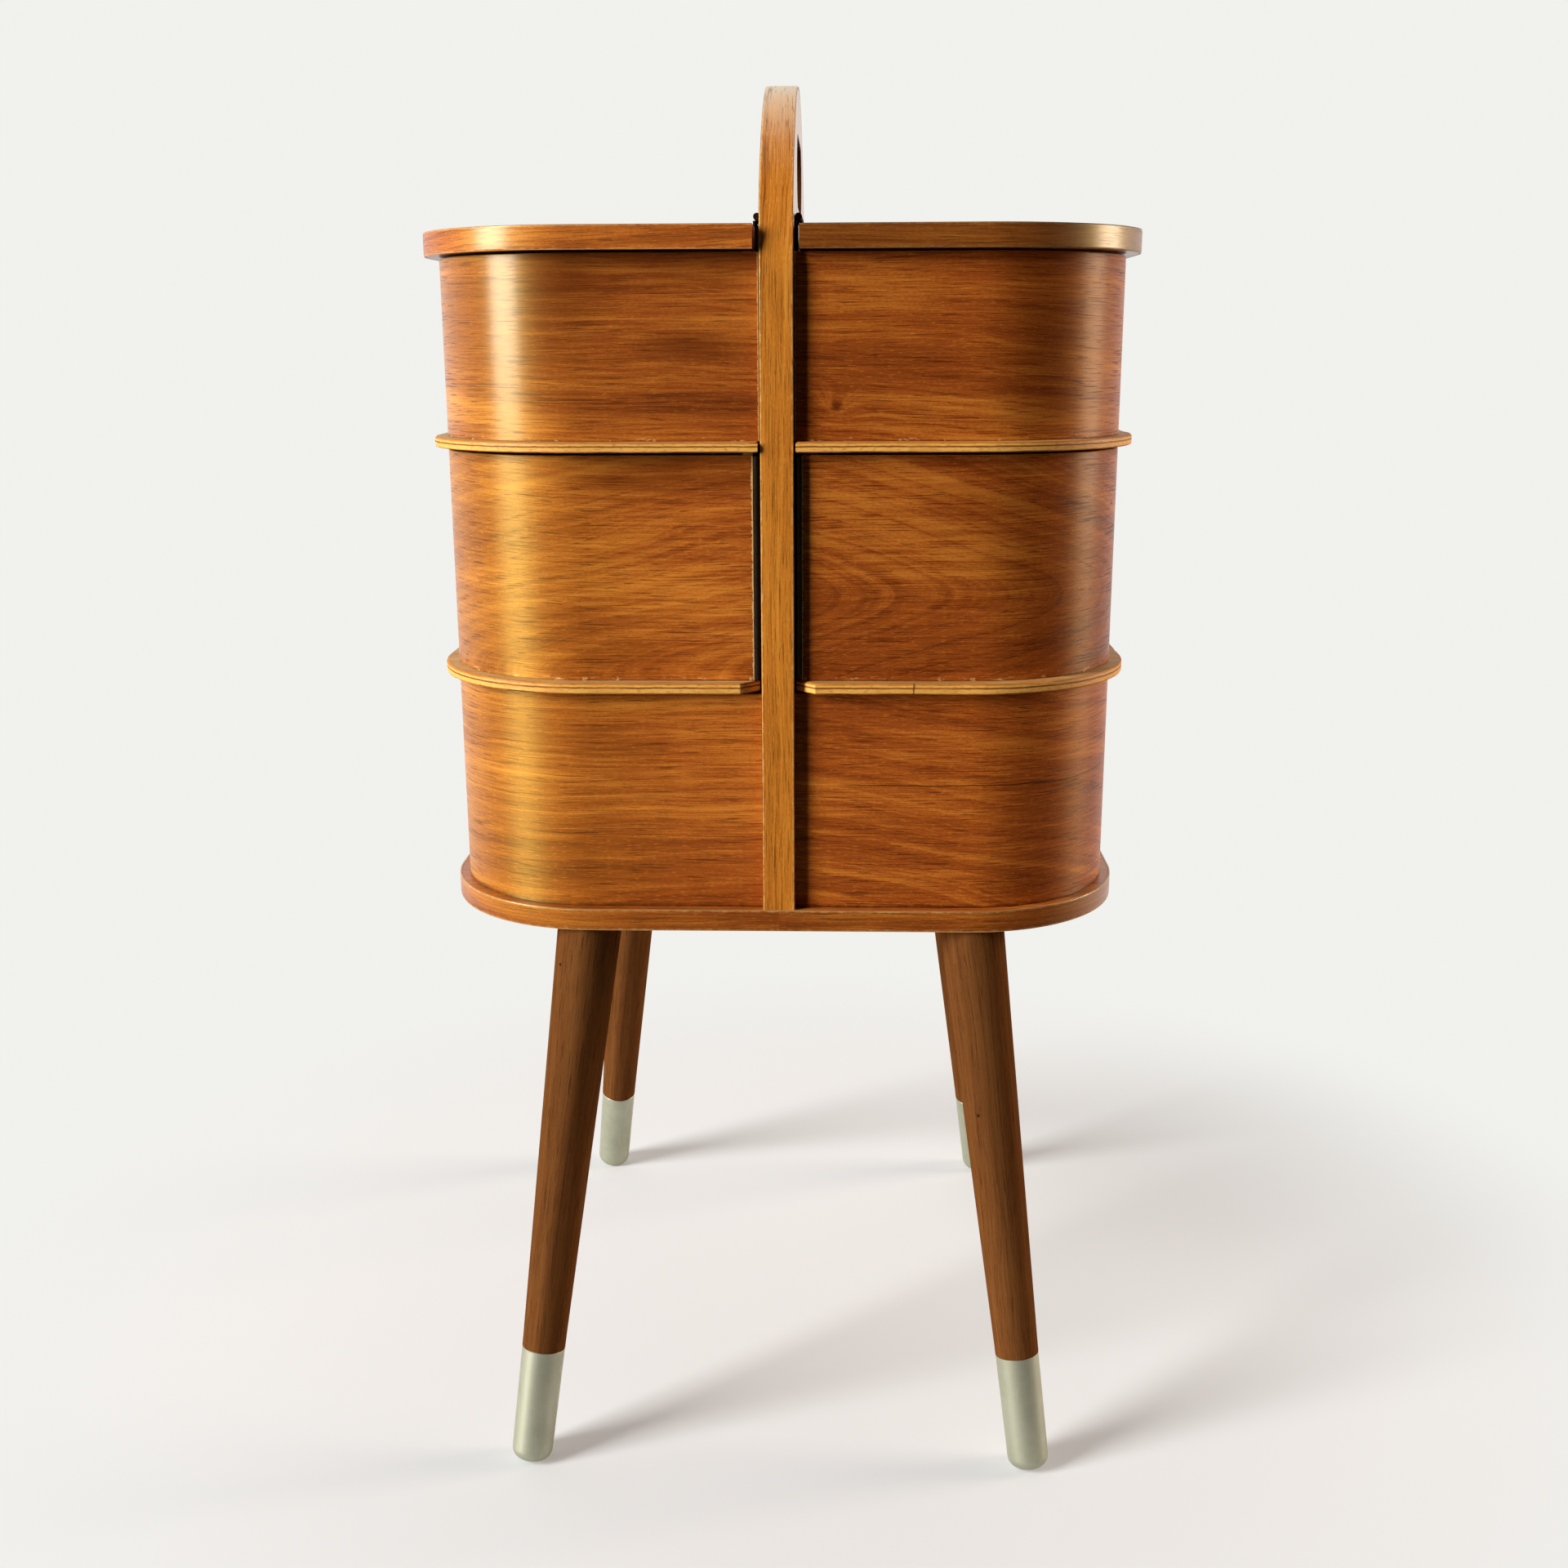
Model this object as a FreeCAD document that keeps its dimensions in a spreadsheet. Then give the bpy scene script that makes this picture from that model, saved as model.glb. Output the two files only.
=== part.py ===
# Three-tier sewing box on four splayed legs, with two lids and four swing-out trays.
# Millimetres. +Z is up, X runs left to right, Y runs front to back.
# The origin is on the ground, under the middle of the centre board.
import FreeCAD, Part
import math
import os
import Sketcher
from FreeCAD import Rotation, Vector

# Driving dimensions: name of the cell, value, what it measures.
SIZES = [
    ("body_width", 280.0, "box over the shells, left to right"),
    ("body_depth", 206.0, "box over the shells, front to back"),
    ("corner_radius", 62.0, "outer bend of a shell"),
    ("shell_wall", 4.0, "bent plywood of a shell"),
    ("edge_band", 0.8, "veneer strip on the edges of base, lids and board"),
    ("base_thickness", 9.0, "base panel"),
    ("base_overhang", 4.5, "base beyond the shells"),
    ("leg_height", 229.0, "ground to the underside of the base"),
    ("bottom_height", 90.0, "shell of the fixed bottom boxes"),
    ("middle_height", 89.5, "shell of the middle trays"),
    ("top_height", 70.5, "shell of the top trays"),
    ("tier_gap", 0.5, "running gap over each rim"),
    ("middle_plate", 4.5, "bottom plate of a middle tray"),
    ("top_plate", 4.0, "bottom plate of a top tray"),
    ("plate_overhang", 5.4, "bottom plates beyond the shells"),
    ("lid_thickness", 9.0, "lid panel"),
    ("lid_overhang", 6.0, "lids beyond the shells"),
    ("board_thickness", 13.0, "centre board"),
    ("board_proud", 4.0, "centre board beyond the shells, front and rear"),
    ("handle_rise", 61.0, "crown of the handle above the lids"),
    ("arch_rise", 78.0, "crown of the handle above the spring of its arch"),
    ("arch_shoulder", 21.0, "rise of the arch beyond the radius of its corners"),
    ("slot_length", 80.0, "hand slot"),
    ("slot_height", 28.0, "hand slot"),
    ("slot_drop", 35.5, "crown of the handle to the middle of the hand slot"),
    ("wall_thickness", 4.0, "straight inner wall of a tray"),
    ("free_end_gap", 0.6, "shell end to the board at the free end"),
    ("plate_gap", 0.8, "plate of a tray to the board"),
    ("leg_inset_side", 64.5, "top of a leg from the side of the base"),
    ("leg_inset_front", 15.5, "top of a leg from the front or rear of the base"),
    ("leg_run_side", 26.5, "splay of a leg, sideways"),
    ("leg_run_front", 46.5, "splay of a leg, to the front or rear"),
    ("leg_diameter", 27.0, "leg at the base"),
    ("ferrule_diameter", 18.2, "leg where it enters its ferrule, and the ferrule there"),
    ("ferrule_tip_diameter", 17.2, "ferrule near the ground"),
    ("ferrule_length", 49.0, "ferrule along the leg"),
    ("ferrule_wall", 0.9, "sheet of a ferrule"),
    ("ferrule_floor", 0.5, "closed end of a ferrule, above its rounding"),
    ("ferrule_round", 5.0, "rounding of the closed end"),
    ("foot_flat", 0.3, "depth of the flat worn on a ferrule"),
    ("glue_gap", 0.05, "glue line between a leg and its ferrule"),
    ("stud_diameter", 6.0, "hanger bolt of a leg"),
    ("stud_depth", 24.0, "hanger bolt in the leg"),
    ("tee_barrel_diameter", 8.6, "tee nut in the base"),
    ("tee_flange_diameter", 18.0, "tee nut in the base"),
    ("tee_flange", 1.5, "tee nut in the base"),
    ("board_screw_diameter", 4.0, "screw through the base into the board"),
    ("board_screw_head", 8.0, "screw through the base into the board"),
    ("board_screw_length", 40.0, "screw through the base into the board"),
    ("board_screw_inset", 32.0, "outer screw to the end of the board"),
    ("lid_hinge_length", 34.0, "butt hinge of a lid"),
    ("lid_hinge_inset", 24.0, "hinge to the front or rear edge of the lid"),
    ("lid_hinge_rise", 3.9, "hinge axis above the lid"),
    ("lid_leaf_foot", 0.8, "foot of a leaf above the underside of the lid"),
    ("tray_hinge_lead", 1.5, "strip hinge axis beyond the shells, front or rear"),
    ("tray_hinge_margin", 1.0, "strip hinge of a tray to its rim and to its plate"),
    ("tray_leaf_width", 14.0, "strip hinge, axis to the edge of a leaf"),
    ("leaf_thickness", 0.8, "hinge leaf"),
    ("knuckle_diameter", 2.8, "hinge barrel"),
    ("knuckle_play", 0.2, "knuckle to knuckle, and knuckle to leaf"),
    ("knuckle_clearance", 0.1, "barrel to the board, and to what the hinge carries"),
    ("leaf_root", 0.1, "leaf to the bore of its knuckle"),
    ("hinge_pin_diameter", 1.3, "hinge pin"),
    ("hinge_pin_clearance", 0.04, "radial running fit of a hinge pin"),
    ("hinge_screw_diameter", 2.0, "hinge screw"),
    ("hinge_screw_head", 3.6, "hinge screw"),
    ("lid_screw_length", 5.0, "screw of a lid hinge"),
    ("tray_screw_length", 4.2, "screw of a tray hinge"),
    ("screw_edge", 7.0, "outer screw to the end of its hinge"),
]

LEFT, RIGHT = -1, 1
FRONT, REAR = -1, 1
SIDE_NAMES = {LEFT: "left", RIGHT: "right"}
END_NAMES = {FRONT: "front", REAR: "rear"}

doc = FreeCAD.newDocument("sewing_box")
sheet = doc.addObject("Spreadsheet::Sheet", "sizes")
for row, (alias, value, meaning) in enumerate(SIZES, start=1):
    sheet.set("A%d" % row, meaning)
    sheet.set("B%d" % row, str(value))
    sheet.setAlias("B%d" % row, alias)
doc.recompute()


class Length:
    """A size known both as a number and as the sheet expression that gives it."""

    def __init__(self, number, text):
        self.number = number
        self.text = text

    def join(self, other, sign, number):
        return Length(number, "(%s %s %s)" % (self.text, sign, as_length(other).text))

    def __add__(self, other):
        return self.join(other, "+", self.number + as_length(other).number)

    def __sub__(self, other):
        return self.join(other, "-", self.number - as_length(other).number)

    def __mul__(self, other):
        return self.join(other, "*", self.number * as_length(other).number)

    def __truediv__(self, other):
        return self.join(other, "/", self.number / as_length(other).number)

    def __neg__(self):
        return Length(-self.number, "(-1 * %s)" % self.text)


def as_length(value):
    """Take a plain number as a Length."""
    if isinstance(value, Length):
        return value
    return Length(float(value), "%r" % float(value))


def size(alias):
    """A driving dimension from the sheet."""
    return Length(float(sheet.get(alias)), "sizes.%s" % alias)


ZERO = as_length(0)

# Sketches, and the features made from them

def new_sketch(body, name, plane, offset):
    """A sketch on one of the body's own origin planes, moved along its normal."""
    sketch = body.newObject("Sketcher::SketchObject", name)
    support = [item for item in body.Origin.OriginFeatures if item.Role == plane][0]
    sketch.AttachmentSupport = [(support, "")]
    sketch.MapMode = "FlatFace"
    sketch.setExpression("AttachmentOffset.Base.z", offset.text)
    return sketch


def bind(sketch, kind, geometry, point, length):
    """Add one dimension to a sketch and tie it to the sheet."""
    if point is None:
        constraint = Sketcher.Constraint(kind, geometry, length.number)
    else:
        constraint = Sketcher.Constraint(kind, geometry, point, length.number)
    index = sketch.addConstraint(constraint)
    sketch.setExpression("Constraints[%d]" % index, length.text)


def bind_point(sketch, geometry, point, x, y):
    bind(sketch, "DistanceX", geometry, point, x)
    bind(sketch, "DistanceY", geometry, point, y)


def circle(sketch, x, y, radius):
    """A full circle, as a hole or a bar section."""
    shape = Part.Circle(Vector(x.number, y.number, 0), Vector(0, 0, 1), radius.number)
    index = sketch.addGeometry(shape, False)
    bind_point(sketch, index, 3, x, y)
    bind(sketch, "Radius", index, None, radius)


def heading(start, end):
    """The axis direction, such as (1, 0), in which end mainly lies from start."""
    dx = end[0].number - start[0].number
    dy = end[1].number - start[1].number
    if abs(dx) > abs(dy):
        return (int(math.copysign(1, dx)), 0)
    return (0, int(math.copysign(1, dy)))


def arc_between(centre, radius, first, last):
    """An arc that runs anticlockwise from the point first to the point last."""
    begin = math.atan2(first.y - centre.y, first.x - centre.x)
    end = math.atan2(last.y - centre.y, last.x - centre.x)
    ring = Part.Circle(centre, Vector(0, 0, 1), radius)
    return Part.ArcOfCircle(ring, begin, end if end > begin else end + 2 * math.pi)


def outline(sketch, corners):
    """A closed outline through corners (x, y), or (x, y, radius) where a corner is round."""
    corners = [tuple(as_length(item) for item in corner) for corner in corners]
    count = len(corners)
    arriving = []
    leaving = []
    arcs = []
    for index, corner in enumerate(corners):
        point = Vector(corner[0].number, corner[1].number, 0)
        way_in = heading(corners[index - 1], corner)
        way_out = heading(corner, corners[(index + 1) % count])
        radius = corner[2] if len(corner) == 3 else ZERO
        arriving.append(point - Vector(way_in[0], way_in[1], 0) * radius.number)
        leaving.append(point + Vector(way_out[0], way_out[1], 0) * radius.number)
        if len(corner) == 3:
            centre_x = corner[0] + radius * (way_out[0] - way_in[0])
            centre_y = corner[1] + radius * (way_out[1] - way_in[1])
            left_turn = way_in[0] * way_out[1] - way_in[1] * way_out[0] > 0
            arcs.append((index, centre_x, centre_y, radius, left_turn))
    lines = []
    for index in range(count):
        edge = Part.LineSegment(leaving[index], arriving[(index + 1) % count])
        lines.append(sketch.addGeometry(edge, False))
    for index, corner in enumerate(corners):
        if len(corner) == 2:
            sketch.addConstraint(Sketcher.Constraint("Coincident", lines[index - 1], 2, lines[index], 1))
            bind_point(sketch, lines[index], 1, corner[0], corner[1])
    for index, centre_x, centre_y, radius, left_turn in arcs:
        centre = Vector(centre_x.number, centre_y.number, 0)
        ends = (arriving[index], leaving[index]) if left_turn else (leaving[index], arriving[index])
        bend = sketch.addGeometry(arc_between(centre, radius.number, ends[0], ends[1]), False)
        first, last = (1, 2) if left_turn else (2, 1)
        bind_point(sketch, bend, 3, centre_x, centre_y)
        bind(sketch, "Radius", bend, None, radius)
        sketch.addConstraint(Sketcher.Constraint("Tangent", lines[index - 1], 2, bend, first))
        sketch.addConstraint(Sketcher.Constraint("Tangent", lines[index], 1, bend, last))


def arch(sketch, half_span, foot, spring, corner, crown):
    """A board outline with a three-centred arch on top, drawn with y upwards."""
    corner_y = spring.number
    crown_y = corner_y - math.sqrt((crown.number - corner.number) ** 2
                                   - (half_span.number - corner.number) ** 2)
    corner_x = half_span.number - corner.number
    lean = math.atan2(corner_y - crown_y, corner_x)
    joint = Vector(corner_x + corner.number * math.cos(lean), corner_y + corner.number * math.sin(lean), 0)
    mirror = Vector(-joint.x, joint.y, 0)
    low = Vector(half_span.number, foot.number, 0)
    high = Vector(half_span.number, corner_y, 0)
    low_left = Vector(-low.x, low.y, 0)
    high_left = Vector(-high.x, high.y, 0)
    right_centre = Vector(corner_x, corner_y, 0)
    left_centre = Vector(-corner_x, corner_y, 0)
    bottom = sketch.addGeometry(Part.LineSegment(low_left, low), False)
    right = sketch.addGeometry(Part.LineSegment(low, high), False)
    right_arc = sketch.addGeometry(arc_between(right_centre, corner.number, high, joint), False)
    crown_arc = sketch.addGeometry(arc_between(Vector(0, crown_y, 0), crown.number, joint, mirror), False)
    left_arc = sketch.addGeometry(arc_between(left_centre, corner.number, mirror, high_left), False)
    left = sketch.addGeometry(Part.LineSegment(high_left, low_left), False)
    sketch.addConstraint(Sketcher.Constraint("Coincident", bottom, 2, right, 1))
    sketch.addConstraint(Sketcher.Constraint("Coincident", left, 2, bottom, 1))
    bind_point(sketch, right, 1, half_span, foot)
    bind_point(sketch, bottom, 1, -half_span, foot)
    for arc, sign in ((right_arc, 1), (left_arc, -1)):
        bind_point(sketch, arc, 3, (half_span - corner) * sign, spring)
        bind(sketch, "Radius", arc, None, corner)
    bind(sketch, "Radius", crown_arc, None, crown)
    sketch.addConstraint(Sketcher.Constraint("Tangent", right, 2, right_arc, 1))
    sketch.addConstraint(Sketcher.Constraint("Tangent", right_arc, 2, crown_arc, 1))
    sketch.addConstraint(Sketcher.Constraint("Tangent", crown_arc, 2, left_arc, 1))
    sketch.addConstraint(Sketcher.Constraint("Tangent", left_arc, 2, left, 1))


def new_body(label):
    return doc.addObject("PartDesign::Body", label)


def pad(body, sketch, length):
    feature = body.newObject("PartDesign::Pad", sketch.Name + "_pad")
    feature.Profile = sketch
    feature.setExpression("Length", length.text)
    return feature


def pocket(body, sketch, depth):
    """Cut from the sketch plane, against its normal."""
    feature = body.newObject("PartDesign::Pocket", sketch.Name + "_pocket")
    feature.Profile = sketch
    feature.setExpression("Length", depth.text)
    return feature


def slab(label, corners, bottom, height, holes=()):
    """A flat piece or an upright wall: one outline with round holes, raised from bottom."""
    body = new_body(label)
    sketch = new_sketch(body, label + "_plan", "XY_Plane", bottom)
    outline(sketch, corners)
    for x, y, radius in holes:
        circle(sketch, x, y, radius)
    pad(body, sketch, height)
    return body


def rectangle(x1, x2, y1, y2):
    return [(x1, y1), (x2, y1), (x2, y2), (x1, y2)]


def turned(label, corners):
    """A turned piece: an outline of (radius, height) revolved about its own Z axis."""
    body = new_body(label)
    sketch = new_sketch(body, label + "_section", "XZ_Plane", ZERO)
    outline(sketch, corners)
    feature = body.newObject("PartDesign::Revolution", label + "_turning")
    feature.Profile = sketch
    feature.ReferenceAxis = (sketch, ["V_Axis"])
    feature.Angle = 360
    return body


def move(item, x, y, z):
    for axis, length in zip("xyz", (x, y, z)):
        item.setExpression("Placement.Base." + axis, length.text)


def cut(label, base, tool):
    feature = doc.addObject("Part::Cut", label)
    feature.Base = base
    feature.Tool = tool
    return feature


def group(label, members):
    """Like pieces that share one node, each still a solid of its own."""
    feature = doc.addObject("Part::Compound", label)
    feature.Links = members
    return feature


NODES = []


def keep(item, label):
    """Name a finished sub-part. The label also names its file."""
    item.Label = label
    NODES.append(item)
    return item


# Levels and plan lines that several pieces share

half_width = size("body_width") / 2
half_depth = size("body_depth") / 2
board_face = size("board_thickness") / 2
board_span = half_depth + size("board_proud")
base_bottom = size("leg_height")
base_top = base_bottom + size("base_thickness")
bottom_rim = base_top + size("bottom_height")
middle_floor = bottom_rim + size("tier_gap")
middle_inside = middle_floor + size("middle_plate")
middle_rim = middle_inside + size("middle_height")
top_floor = middle_rim + size("tier_gap")
top_inside = top_floor + size("top_plate")
top_rim = top_inside + size("top_height")
lid_bottom = top_rim + size("tier_gap")
lid_top = lid_bottom + size("lid_thickness")
handle_top = lid_top + size("handle_rise")
hinge_offset = size("knuckle_diameter") / 2 + size("knuckle_clearance")
hinge_gap = hinge_offset * 2
hinge_x = board_face + hinge_offset


# Base panel, with its tee nuts let in flush, and the veneer strip round its edge

def rounded_box(half_x, half_y, radius):
    return [(-half_x, -half_y, radius), (half_x, -half_y, radius),
            (half_x, half_y, radius), (-half_x, half_y, radius)]


base_half_x = half_width + size("base_overhang")
base_half_y = half_depth + size("base_overhang")
base_radius = size("corner_radius") + size("base_overhang")
leg_x = base_half_x - size("leg_inset_side")
leg_y = base_half_y - size("leg_inset_front")
LEGS = [(side, end) for end in (FRONT, REAR) for side in (LEFT, RIGHT)]

band = size("edge_band")
base_core = rounded_box(base_half_x - band, base_half_y - band, base_radius - band)
barrel = size("tee_barrel_diameter") / 2
flange = size("tee_flange_diameter") / 2
base_body = slab("base_blank", base_core, base_bottom, size("base_thickness"),
                 [(leg_x * side, leg_y * end, barrel) for side, end in LEGS])
recess = new_sketch(base_body, "tee_recess", "XY_Plane", base_top)
for side, end in LEGS:
    circle(recess, leg_x * side, leg_y * end, flange)
pocket(base_body, recess, size("tee_flange"))

screw_radius = size("board_screw_diameter") / 2
screw_head = size("board_screw_head") / 2
head_depth = screw_head - screw_radius
board_screws = []
for step in (-1, 0, 1):
    screw = turned("board_screw_%d" % (step + 2), [
        (ZERO, ZERO), (screw_head, ZERO), (screw_radius, head_depth),
        (screw_radius, size("board_screw_length")), (ZERO, size("board_screw_length"))])
    move(screw, ZERO, (board_span - size("board_screw_inset")) * step, base_bottom)
    board_screws.append(screw)
board_screw_group = keep(group("board_screw_set", board_screws), "board_screws")
keep(cut("base_drilled", base_body, board_screw_group), "base_panel")

base_band = new_body("base_strip")
strip_plan = new_sketch(base_band, "base_strip_plan", "XY_Plane", base_bottom)
outline(strip_plan, rounded_box(base_half_x, base_half_y, base_radius))
outline(strip_plan, base_core)
pad(base_band, strip_plan, size("base_thickness"))
keep(base_band, "base_edge_band")


# Legs: tapered turnings with the top cut level, each in a closed metal ferrule

leg_run = math.hypot(size("leg_run_side").number, size("leg_run_front").number)
leg_tilt = math.atan2(leg_run, base_bottom.number)
leg_axis = base_bottom.number / math.cos(leg_tilt)
tip_radius = size("ferrule_tip_diameter") / 2
mouth_radius = size("ferrule_diameter") / 2
end_round = size("ferrule_round")

# Height of the closed end along the leg, at which the tilted rim cuts the ground by foot_flat
rim_height = (end_round - size("foot_flat")).number + (tip_radius - end_round).number * math.sin(leg_tilt)
end_height = as_length(rim_height / math.cos(leg_tilt)) - end_round
mouth_height = end_height + size("ferrule_length")
floor_height = end_height + end_round + size("ferrule_floor")
bore_bottom = tip_radius - size("ferrule_wall")
bore_mouth = mouth_radius - size("ferrule_wall")
over_top = as_length(leg_axis + size("leg_diameter").number / 2)

span = (size("body_width") + size("body_depth")) * 2
ground = doc.addObject("Part::Box", "ground_space")
ceiling = doc.addObject("Part::Box", "space_over_legs")
for block in (ground, ceiling):
    for edge in ("Length", "Width", "Height"):
        block.setExpression(edge, span.text)
move(ground, -span / 2, -span / 2, -span)
move(ceiling, -span / 2, -span / 2, base_bottom)

studs = []
tee_nuts = []
stud_radius = size("stud_diameter") / 2
for side, end in LEGS:
    corner_name = "%s_%s" % (END_NAMES[end], SIDE_NAMES[side])
    stud = turned(corner_name + "_stud", [
        (ZERO, ZERO), (stud_radius, ZERO),
        (stud_radius, size("stud_depth") + size("base_thickness")),
        (ZERO, size("stud_depth") + size("base_thickness"))])
    move(stud, leg_x * side, leg_y * end, base_bottom - size("stud_depth"))
    studs.append(stud)
    nut = turned(corner_name + "_tee_nut", [
        (stud_radius, ZERO), (barrel, ZERO),
        (barrel, size("base_thickness") - size("tee_flange")),
        (flange, size("base_thickness") - size("tee_flange")),
        (flange, size("base_thickness")), (stud_radius, size("base_thickness"))])
    move(nut, leg_x * side, leg_y * end, base_bottom)
    tee_nuts.append(nut)
stud_group = keep(group("stud_set", studs), "leg_studs")
keep(group("tee_nut_set", tee_nuts), "leg_tee_nuts")

for side, end in LEGS:
    corner_name = "%s_%s" % (END_NAMES[end], SIDE_NAMES[side])
    foot = Vector(side * (leg_x + size("leg_run_side")).number,
                  end * (leg_y + size("leg_run_front")).number, 0)
    top = Vector(side * leg_x.number, end * leg_y.number, base_bottom.number)
    stance = FreeCAD.Placement(foot, Rotation(Vector(0, 0, 1), top - foot))
    fit = size("glue_gap")
    leg = turned(corner_name + "_leg_turning", [
        (ZERO, floor_height + fit), (bore_bottom - fit, floor_height + fit),
        (bore_mouth - fit, mouth_height + fit),
        (mouth_radius, mouth_height + fit),
        (size("leg_diameter") / 2, as_length(leg_axis)),
        (size("leg_diameter") / 2, over_top), (ZERO, over_top)])
    ferrule = turned(corner_name + "_ferrule_cup", [
        (ZERO, end_height), (tip_radius, end_height, end_round), (mouth_radius, mouth_height),
        (bore_mouth, mouth_height), (bore_bottom, floor_height), (ZERO, floor_height)])
    leg.Placement = stance
    ferrule.Placement = stance
    levelled = cut(corner_name + "_leg_levelled", leg, ceiling)
    keep(cut(corner_name + "_leg_drilled", levelled, stud_group), corner_name + "_leg")
    keep(cut(corner_name + "_ferrule_standing", ferrule, ground), corner_name + "_ferrule")


# Hinges: pairs of butt hinges for the lids, one strip hinge for each tray, all on the faces of the board

knuckle = size("knuckle_diameter") / 2
pin_radius = size("hinge_pin_diameter") / 2
running_bore = pin_radius + size("hinge_pin_clearance")
leaf_near = hinge_offset - size("leaf_thickness")
ALONG_Y = Rotation()
UP_FROM_FRONT = Rotation(Vector(1, 0, 0), 90)
UP_FROM_REAR = Rotation(Vector(1, 0, 0), -90)
ON_BOARD, ON_MOVER = -1, 1


def hinge_leaf(label, direction, length, width, bore, count, own):
    """A leaf below a barrel along Y, on one side of it in X, with own of its count knuckles."""
    body = new_body(label)
    split = -(knuckle + size("knuckle_play"))
    root = -(running_bore + size("leaf_root"))
    step = length / count
    flat = new_sketch(body, label + "_flat", "XZ_Plane", -length)
    outline(flat, rectangle(leaf_near * direction, hinge_offset * direction, -width, split))
    pad(body, flat, length)
    for place in own:
        reach = step - size("knuckle_play")
        far_end = -(step * place + size("knuckle_play") / 2 + reach)
        tab = new_sketch(body, "%s_tab_%d" % (label, place), "XZ_Plane", far_end)
        outline(tab, rectangle(leaf_near * direction, hinge_offset * direction, split, root))
        pad(body, tab, reach)
        ring = new_sketch(body, "%s_knuckle_%d" % (label, place), "XZ_Plane", far_end)
        circle(ring, ZERO, ZERO, knuckle)
        circle(ring, ZERO, ZERO, bore)
        pad(body, ring, reach)
    return body


def countersunk_screw(label, direction, length):
    """A screw along X, with its head at the origin and flush in a leaf."""
    radius = size("hinge_screw_diameter") / 2
    head = size("hinge_screw_head") / 2
    screw = turned(label, [
        (ZERO, ZERO), (head, ZERO), (radius, size("leaf_thickness")), (radius, length), (ZERO, length)])
    screw.Placement = FreeCAD.Placement(Vector(), Rotation(Vector(0, 0, 1), Vector(direction, 0, 0)))
    return screw


class Hinge:
    """Two leaves face to face on a pin. Start is one end of the axis, and turn lays it along Y or Z."""

    def __init__(self, label, side, start, turn, length, width, count, screw_back, screw_spots, screw_length):
        self.start = start
        self.turn = turn
        self.board_leaf = hinge_leaf(label + "_board_leaf", ON_BOARD * side, length, width,
                                     pin_radius, count, range(0, count, 2))
        self.mover_leaf = hinge_leaf(label + "_mover_leaf", ON_MOVER * side, length, width,
                                     running_bore, count, range(1, count, 2))
        self.pin = turned(label + "_pin", [
            (ZERO, ZERO), (pin_radius, ZERO), (pin_radius, length), (ZERO, length)])
        self.pin.Placement = FreeCAD.Placement(
            Vector(), Rotation(Vector(0, 0, 1), turn.multVec(Vector(0, 1, 0))))
        for leaf in (self.board_leaf, self.mover_leaf):
            leaf.Placement = FreeCAD.Placement(Vector(), turn)
        for item in (self.board_leaf, self.mover_leaf, self.pin):
            move(item, *start)
        self.board_screws = self.screws(label + "_board_screw", ON_BOARD * side,
                                        screw_back, screw_spots, screw_length)
        self.mover_screws = self.screws(label + "_mover_screw", ON_MOVER * side,
                                        screw_back, screw_spots, screw_length)

    def screws(self, label, direction, back, spots, length):
        """Screws at some spots along the hinge, each set back from its axis."""
        made = []
        along = self.turn.multVec(Vector(0, 1, 0))
        down = self.turn.multVec(Vector(0, 0, -1))
        for number, spot in enumerate(spots, start=1):
            screw = countersunk_screw("%s_%d" % (label, number), direction, length)
            move(screw, self.start[0] + leaf_near * direction,
                 self.start[1] + spot * round(along.y) + back * round(down.y),
                 self.start[2] + spot * round(along.z) + back * round(down.z))
            made.append(screw)
        return made


lid_hinge_y = half_depth + size("lid_overhang") - size("lid_hinge_inset") - size("lid_hinge_length") / 2
lid_hinge_z = lid_top + size("lid_hinge_rise")
lid_leaf_width = lid_hinge_z - lid_bottom - size("lid_leaf_foot")
lid_screw_back = size("lid_hinge_rise") + size("lid_thickness") / 2
lid_screw_spots = [size("screw_edge"), size("lid_hinge_length") - size("screw_edge")]
lid_hinges = {LEFT: [], RIGHT: []}
tray_hinges = {}
for side in (LEFT, RIGHT):
    for end in (FRONT, REAR):
        start = (hinge_x * side, lid_hinge_y * end - size("lid_hinge_length") / 2, lid_hinge_z)
        lid_hinges[side].append(Hinge(
            "%s_%s_lid_hinge" % (SIDE_NAMES[side], END_NAMES[end]), side, start, ALONG_Y,
            size("lid_hinge_length"), lid_leaf_width, 3, lid_screw_back, lid_screw_spots,
            size("lid_screw_length")))
    for tier, end, turn, inside, height in (
            ("middle", FRONT, UP_FROM_FRONT, middle_inside, size("middle_height")),
            ("top", REAR, UP_FROM_REAR, top_inside, size("top_height"))):
        length = height - size("tray_hinge_margin") * 2
        foot = inside + size("tray_hinge_margin")
        axis_y = (half_depth + size("tray_hinge_lead")) * end
        start = (hinge_x * side, axis_y, foot if end == FRONT else foot + length)
        tray_hinges[side, tier] = Hinge(
            "%s_%s_hinge" % (SIDE_NAMES[side], tier), side, start, turn, length, size("tray_leaf_width"), 7,
            (size("tray_leaf_width") + knuckle) / 2,
            [size("screw_edge"), length / 2, length - size("screw_edge")], size("tray_screw_length"))

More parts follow.
